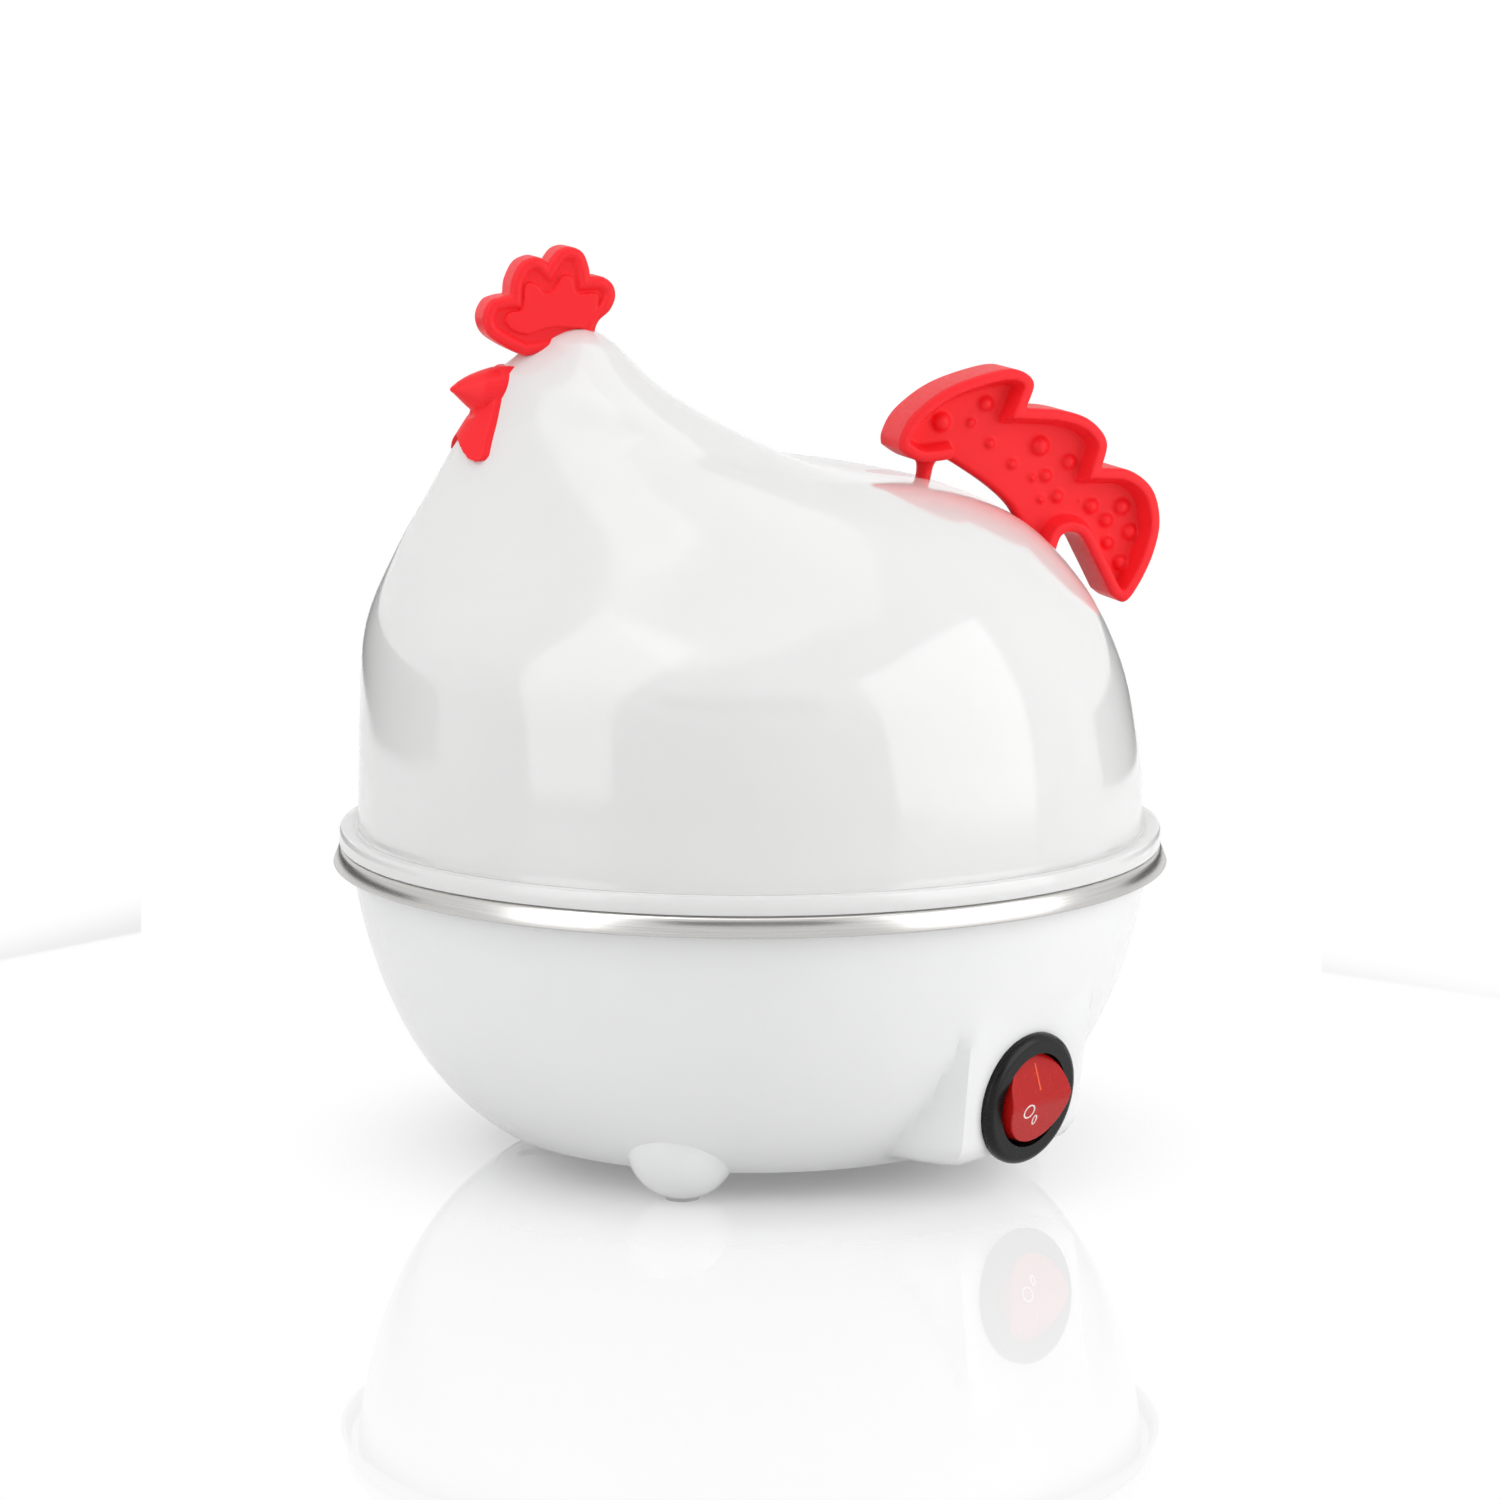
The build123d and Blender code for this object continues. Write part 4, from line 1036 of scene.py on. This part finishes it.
zinc_steel = plain_metal("zinc_steel", (0.68, 0.69, 0.71), 0.3)
FINISHES = {  # the maker of each material slot's finish
    "milky_lid": milky_plastic,
    "white_plastic": white_plastic,
    "red_plastic": red_plastic,
    "red_rocker": clear_red,
    "black_plastic": black_plastic,
    "lamp_glass": lamp_glass,
    "rack_plastic": plain("rack_plastic", (0.84, 0.84, 0.83), 0.3, 1200),
    "seal_rubber": plain("seal_rubber", (0.72, 0.72, 0.71), 0.7, 1500, 0.05 * MM),
    "pad_rubber": plain("pad_rubber", (0.62, 0.62, 0.61), 0.75, 1500, 0.05 * MM),
    "lead_insulation": plain("lead_sleeve", (0.82, 0.82, 0.8), 0.45, 1200),
    "brushed_steel": brushed_steel,
    "zinc_steel": zinc_steel,
    "fuse_metal": zinc_steel,
    "cast_aluminium": plain_metal("cast_aluminium", (0.66, 0.67, 0.68), 0.45),
    "heater_steel": plain_metal("heater_sheath", (0.42, 0.42, 0.43), 0.4),
    "brass": plain_metal("terminal_brass", (0.8, 0.6, 0.28), 0.3),
}


class EGG_COOKER_OT_finishes(bpy.types.Operator):
    """Finishes of the pieces that keep their built shape"""
    bl_idname = "egg_cooker.finishes"
    bl_label = "Finishes"

    def execute(self, context):
        for part in frame["record"]["subparts"]:
            piece = frame["nodes"][part["node"]]
            piece.data.materials.clear()
            piece.data.materials.append(FINISHES[part["material_slot"]]())
        return {"FINISHED"}


# ---------------------------------------------------------------- stage
SOFTBOXES = [  # name, degrees round from the front, degrees up, distance, size across and up, power in watts
    ("softbox_left", -66, 36, 0.5, (0.24, 0.74), 0.98),
    ("softbox_right", 47, 22, 0.5, (0.42, 0.5), 1.35),
    ("softbox_top", 0, 86, 1.2, (1.0, 1.0), 3.2),
]
FLAGS = [  # name, degrees round from the front, degrees up, distance, size across and up
    ("flag_front", -16, 29, 1.3, (1.0, 0.3)),
    ("flag_right", 125.5, 4.8, 0.6, (0.5, 0.1)),
    ("flag_left", 213, 4.8, 0.6, (0.78, 0.1)),
]
LAMP_AIM = (0, 0, 0.08)             # what the softboxes and flags face
PAPER_WHITE = (0.8, 0.8, 0.8, 1)
SHADOW_RANGE, SHADOW_SHARE = (0.03, 0.09), (0.25, 1.0)    # how white the floor shows, at distances from the axis
POLISH_RANGE, POLISH_SHARE = (0.05, 0.55), (0.85, 0.3)    # how much of its gloss it keeps
POLISH_IOR, POLISH_ROUGHNESS = 1.35, 0.02
FLAG_DARK, FLAG_SLACK = 0.07, (0.08, 0.14)          # a flag's level, and how far from its own distance it is seen dark


def bare_material(name):
    """A material without nodes, and its tree."""
    material = bpy.data.materials.new(name)
    material.use_nodes = True
    material.node_tree.nodes.clear()
    return material, material.node_tree


def in_sight(tree):
    """1 for rays that show a surface, straight, in gloss or through glass, and 0 for those that only light things."""
    path = add(tree, "LightPath").outputs
    straight = calc(tree, "MAXIMUM", path["Is Camera Ray"], path["Is Glossy Ray"])
    return calc(tree, "MAXIMUM", straight, path["Is Transmission Ray"])


def mixed(tree, share, first, second):
    return add(tree, "MixShader", share, first, second).outputs["Shader"]


def face_cooker(thing, axis):
    thing.rotation_euler = (Vector(LAMP_AIM) - thing.location).to_track_quat(axis, "Y").to_euler()


class EGG_COOKER_OT_stage(bpy.types.Operator):
    """White glossy floor, even room light, softboxes, dark flags and the camera"""
    bl_idname = "egg_cooker.stage"
    bl_label = "Stage"

    def execute(self, context):
        self.floor()
        self.room()
        self.lamps()
        self.flags()
        self.camera()
        context.scene.view_settings.view_transform = "Standard"
        return {"FINISHED"}

    def floor(self):
        """White where it is in sight, with the cooker's shadow round its feet and its image in a thin gloss."""
        object_mode()
        bpy.ops.mesh.primitive_plane_add(size=80.0)
        floor = named("floor")
        material, tree = bare_material("floor_white")
        paper = add(tree, "BsdfDiffuse", Color=PAPER_WHITE).outputs["BSDF"]
        glow = add(tree, "Emission", Strength=1.0).outputs["Emission"]
        gloss = add(tree, "BsdfGlossy", Color=(1, 1, 1, 1), Roughness=POLISH_ROUGHNESS).outputs["BSDF"]
        grazing = add(tree, "Fresnel", IOR=POLISH_IOR).outputs["Fac"]
        reach = length_of(tree, add(tree, "TexCoord").outputs["Object"])
        clear = remapped(tree, reach, *SHADOW_RANGE, *SHADOW_SHARE, soft=True)
        lit = mixed(tree, calc(tree, "MULTIPLY", in_sight(tree), clear), paper, glow)
        kept = remapped(tree, reach, *POLISH_RANGE, *POLISH_SHARE)
        add(tree, "OutputMaterial", Surface=mixed(tree, calc(tree, "MULTIPLY", kept, grazing), lit, gloss))
        floor.data.materials.append(material)

    def room(self):
        """Even light from all round, which is white where it is in sight."""
        world = bpy.data.worlds.new("studio_white")
        world.use_nodes = True
        bpy.context.scene.world = world
        tree = world.node_tree
        level = remapped(tree, in_sight(tree), 0.0, 1.0, settings().room_light, 1.0)
        fill(tree, tree.nodes["Background"], Color=(1, 1, 1, 1), Strength=level)

    def lamps(self):
        """Two tall softboxes and an overhead one."""
        for name, turn, climb, reach, size, power in SOFTBOXES:
            object_mode()
            bpy.ops.object.light_add(type="AREA", location=around(turn, climb, reach))
            lamp = bpy.context.object
            lamp.name = name
            lamp.data.shape = "RECTANGLE"
            lamp.data.size, lamp.data.size_y = size
            lamp.data.energy = power
            lamp.visible_camera = False
            face_cooker(lamp, "-Z")

    def flags(self):
        """Dark panels that only glossy surfaces see."""
        for name, turn, climb, reach, size in FLAGS:
            object_mode()
            bpy.ops.mesh.primitive_plane_add(size=1.0)
            flag = named(name)
            flag.scale = (*size, 1)
            flag.location = around(turn, climb, reach)
            face_cooker(flag, "Z")
            flag.data.materials.append(self.flag_cloth(reach))
            for way in ("camera", "diffuse", "transmission", "volume_scatter", "shadow"):
                setattr(flag, "visible_" + way, False)

    def flag_cloth(self, reach):
        """Dark as seen from the cooker, and as bright as the room from places nearer or farther."""
        material, tree = bare_material("flag_dark")
        away = calc(tree, "SUBTRACT", add(tree, "LightPath").outputs["Ray Length"], reach)
        level = remapped(tree, calc(tree, "ABSOLUTE", away), *FLAG_SLACK, FLAG_DARK, 1.0, soft=True)
        add(tree, "OutputMaterial", Surface=add(tree, "Emission", Strength=level).outputs["Emission"])
        return material

    def camera(self):
        """Looks at the cooker's side, a little from its front and from above."""
        object_mode()
        view = settings()
        turn = view.camera_turn
        place = (math.sin(turn) * view.camera_distance, -math.cos(turn) * view.camera_distance, view.camera_height)
        bpy.ops.object.camera_add(location=place, rotation=(math.pi / 2 - view.camera_pitch, 0, turn))
        camera = bpy.context.object
        camera.data.sensor_width = 36
        camera.data.lens = view.camera_lens
        camera.data.clip_start = 0.01
        bpy.context.scene.camera = camera


# ---------------------------------------------------------------- settings, panel and registration
def length(name, description, millimetres):
    return FloatProperty(name=name, description=description, default=millimetres * MM, unit="LENGTH", precision=4)


def angle(name, description, degrees):
    return FloatProperty(name=name, description=description, default=math.radians(degrees), unit="ROTATION")


class EggCookerSizes(bpy.types.PropertyGroup):
    """Sizes that a user may change"""
    round_segments: IntProperty(name="Round segments", description="Points round the dome", default=120, min=24)
    dome_wall: length("Dome wall", "Wall of the milky dome", 2)
    comb_thickness: length("Comb thickness", "Across the comb", 8)
    wattle_rise: length("Wattle rise", "Wattle above the hen's face", 0.85)
    tail_thickness: length("Tail thickness", "Across the tail's rim", 13)
    tail_web: length("Tail web", "Across the tail's sunk face", 4)
    tail_rim: length("Tail rim", "Width of the tail's rim", 1.9)
    # width of the painted pink band that stands in for the strip seen through the dome
    painted_strip_band: length("Strip band", "Width of the pink band over the strip", 11)
    switch_tilt: angle("Switch tilt", "How far the switch faces down", 8.3)
    camera_turn: angle("Camera turn", "Round the cooker from its side view", -16)
    camera_distance: length("Camera distance", "Level distance from the cooker's axis", 900)
    camera_height: length("Camera height", "Above the table", 220.3)
    camera_pitch: angle("Camera pitch", "Down from level", 9.32)
    camera_lens: FloatProperty(name="Lens", description="Focal length in millimetres", default=119.98)
    room_light: FloatProperty(name="Room light", description="Even light from all round", default=0.45)


def tint(name, description, colour):
    return FloatVectorProperty(name=name, description=description, default=colour, subtype="COLOR",
                               min=0, max=1, size=3)


class EggCookerColours(bpy.types.PropertyGroup):
    """Colours that a user may change"""
    dome: tint("Dome", "Milky dome", (0.955, 0.955, 0.95))
    bowl: tint("Bowl", "White bowl", (0.86, 0.865, 0.865))
    trim: tint("Trim", "Comb, beak and tail", (0.92, 0.022, 0.03))
    rocker: tint("Rocker", "Clear red rocker", (0.64, 0.01, 0.008))
    # painted pink that stands in for the red strip seen through the dome
    painted_strip_tint: tint("Strip tint", "Dome colour over the red strip", (0.82, 0.4, 0.46))
    bezel: tint("Bezel", "Switch bezel", (0.005, 0.005, 0.0055))
    on_mark: tint("On mark", "Line on the rocker", (0.95, 0.12, 0.03))
    # colour of the printed off ring and of its painted glint
    off_mark_and_glint: tint("Off mark", "Ring on the rocker", (0.92, 0.86, 0.84))


OPERATORS = (EGG_COOKER_OT_finishes, EGG_COOKER_OT_bowl, EGG_COOKER_OT_pan, EGG_COOKER_OT_dome, EGG_COOKER_OT_comb,
             EGG_COOKER_OT_beak, EGG_COOKER_OT_tail, EGG_COOKER_OT_switch, EGG_COOKER_OT_stage)


class EGG_COOKER_PT_panel(bpy.types.Panel):
    """Lists the cooker's pieces, sizes and colours"""
    bl_idname = "EGG_COOKER_PT_panel"
    bl_label = "Egg Cooker"
    bl_space_type = "VIEW_3D"
    bl_region_type = "UI"
    bl_category = "Egg Cooker"

    def draw(self, context):
        for operator in OPERATORS:
            self.layout.operator(operator.bl_idname)
        for group in (context.scene.egg_cooker_sizes, context.scene.egg_cooker_colours):
            box = self.layout.box()
            for name in group.__annotations__:
                box.prop(group, name)


CLASSES = (EggCookerSizes, EggCookerColours, *OPERATORS, EGG_COOKER_PT_panel)


def register():
    for cls in CLASSES:
        bpy.utils.register_class(cls)
    bpy.types.Scene.egg_cooker_sizes = PointerProperty(type=EggCookerSizes)
    bpy.types.Scene.egg_cooker_colours = PointerProperty(type=EggCookerColours)


def unregister():
    del bpy.types.Scene.egg_cooker_colours
    del bpy.types.Scene.egg_cooker_sizes
    for cls in reversed(CLASSES):
        bpy.utils.unregister_class(cls)


def main():
    register()
    bpy.ops.egg_cooker.finishes()
    bpy.ops.egg_cooker.bowl()
    bpy.ops.egg_cooker.pan()
    bpy.ops.egg_cooker.dome()
    bpy.ops.egg_cooker.comb()
    bpy.ops.egg_cooker.beak()
    bpy.ops.egg_cooker.tail()
    bpy.ops.egg_cooker.switch()
    bpy.ops.egg_cooker.stage()


if __name__ == "__main__":
    main()
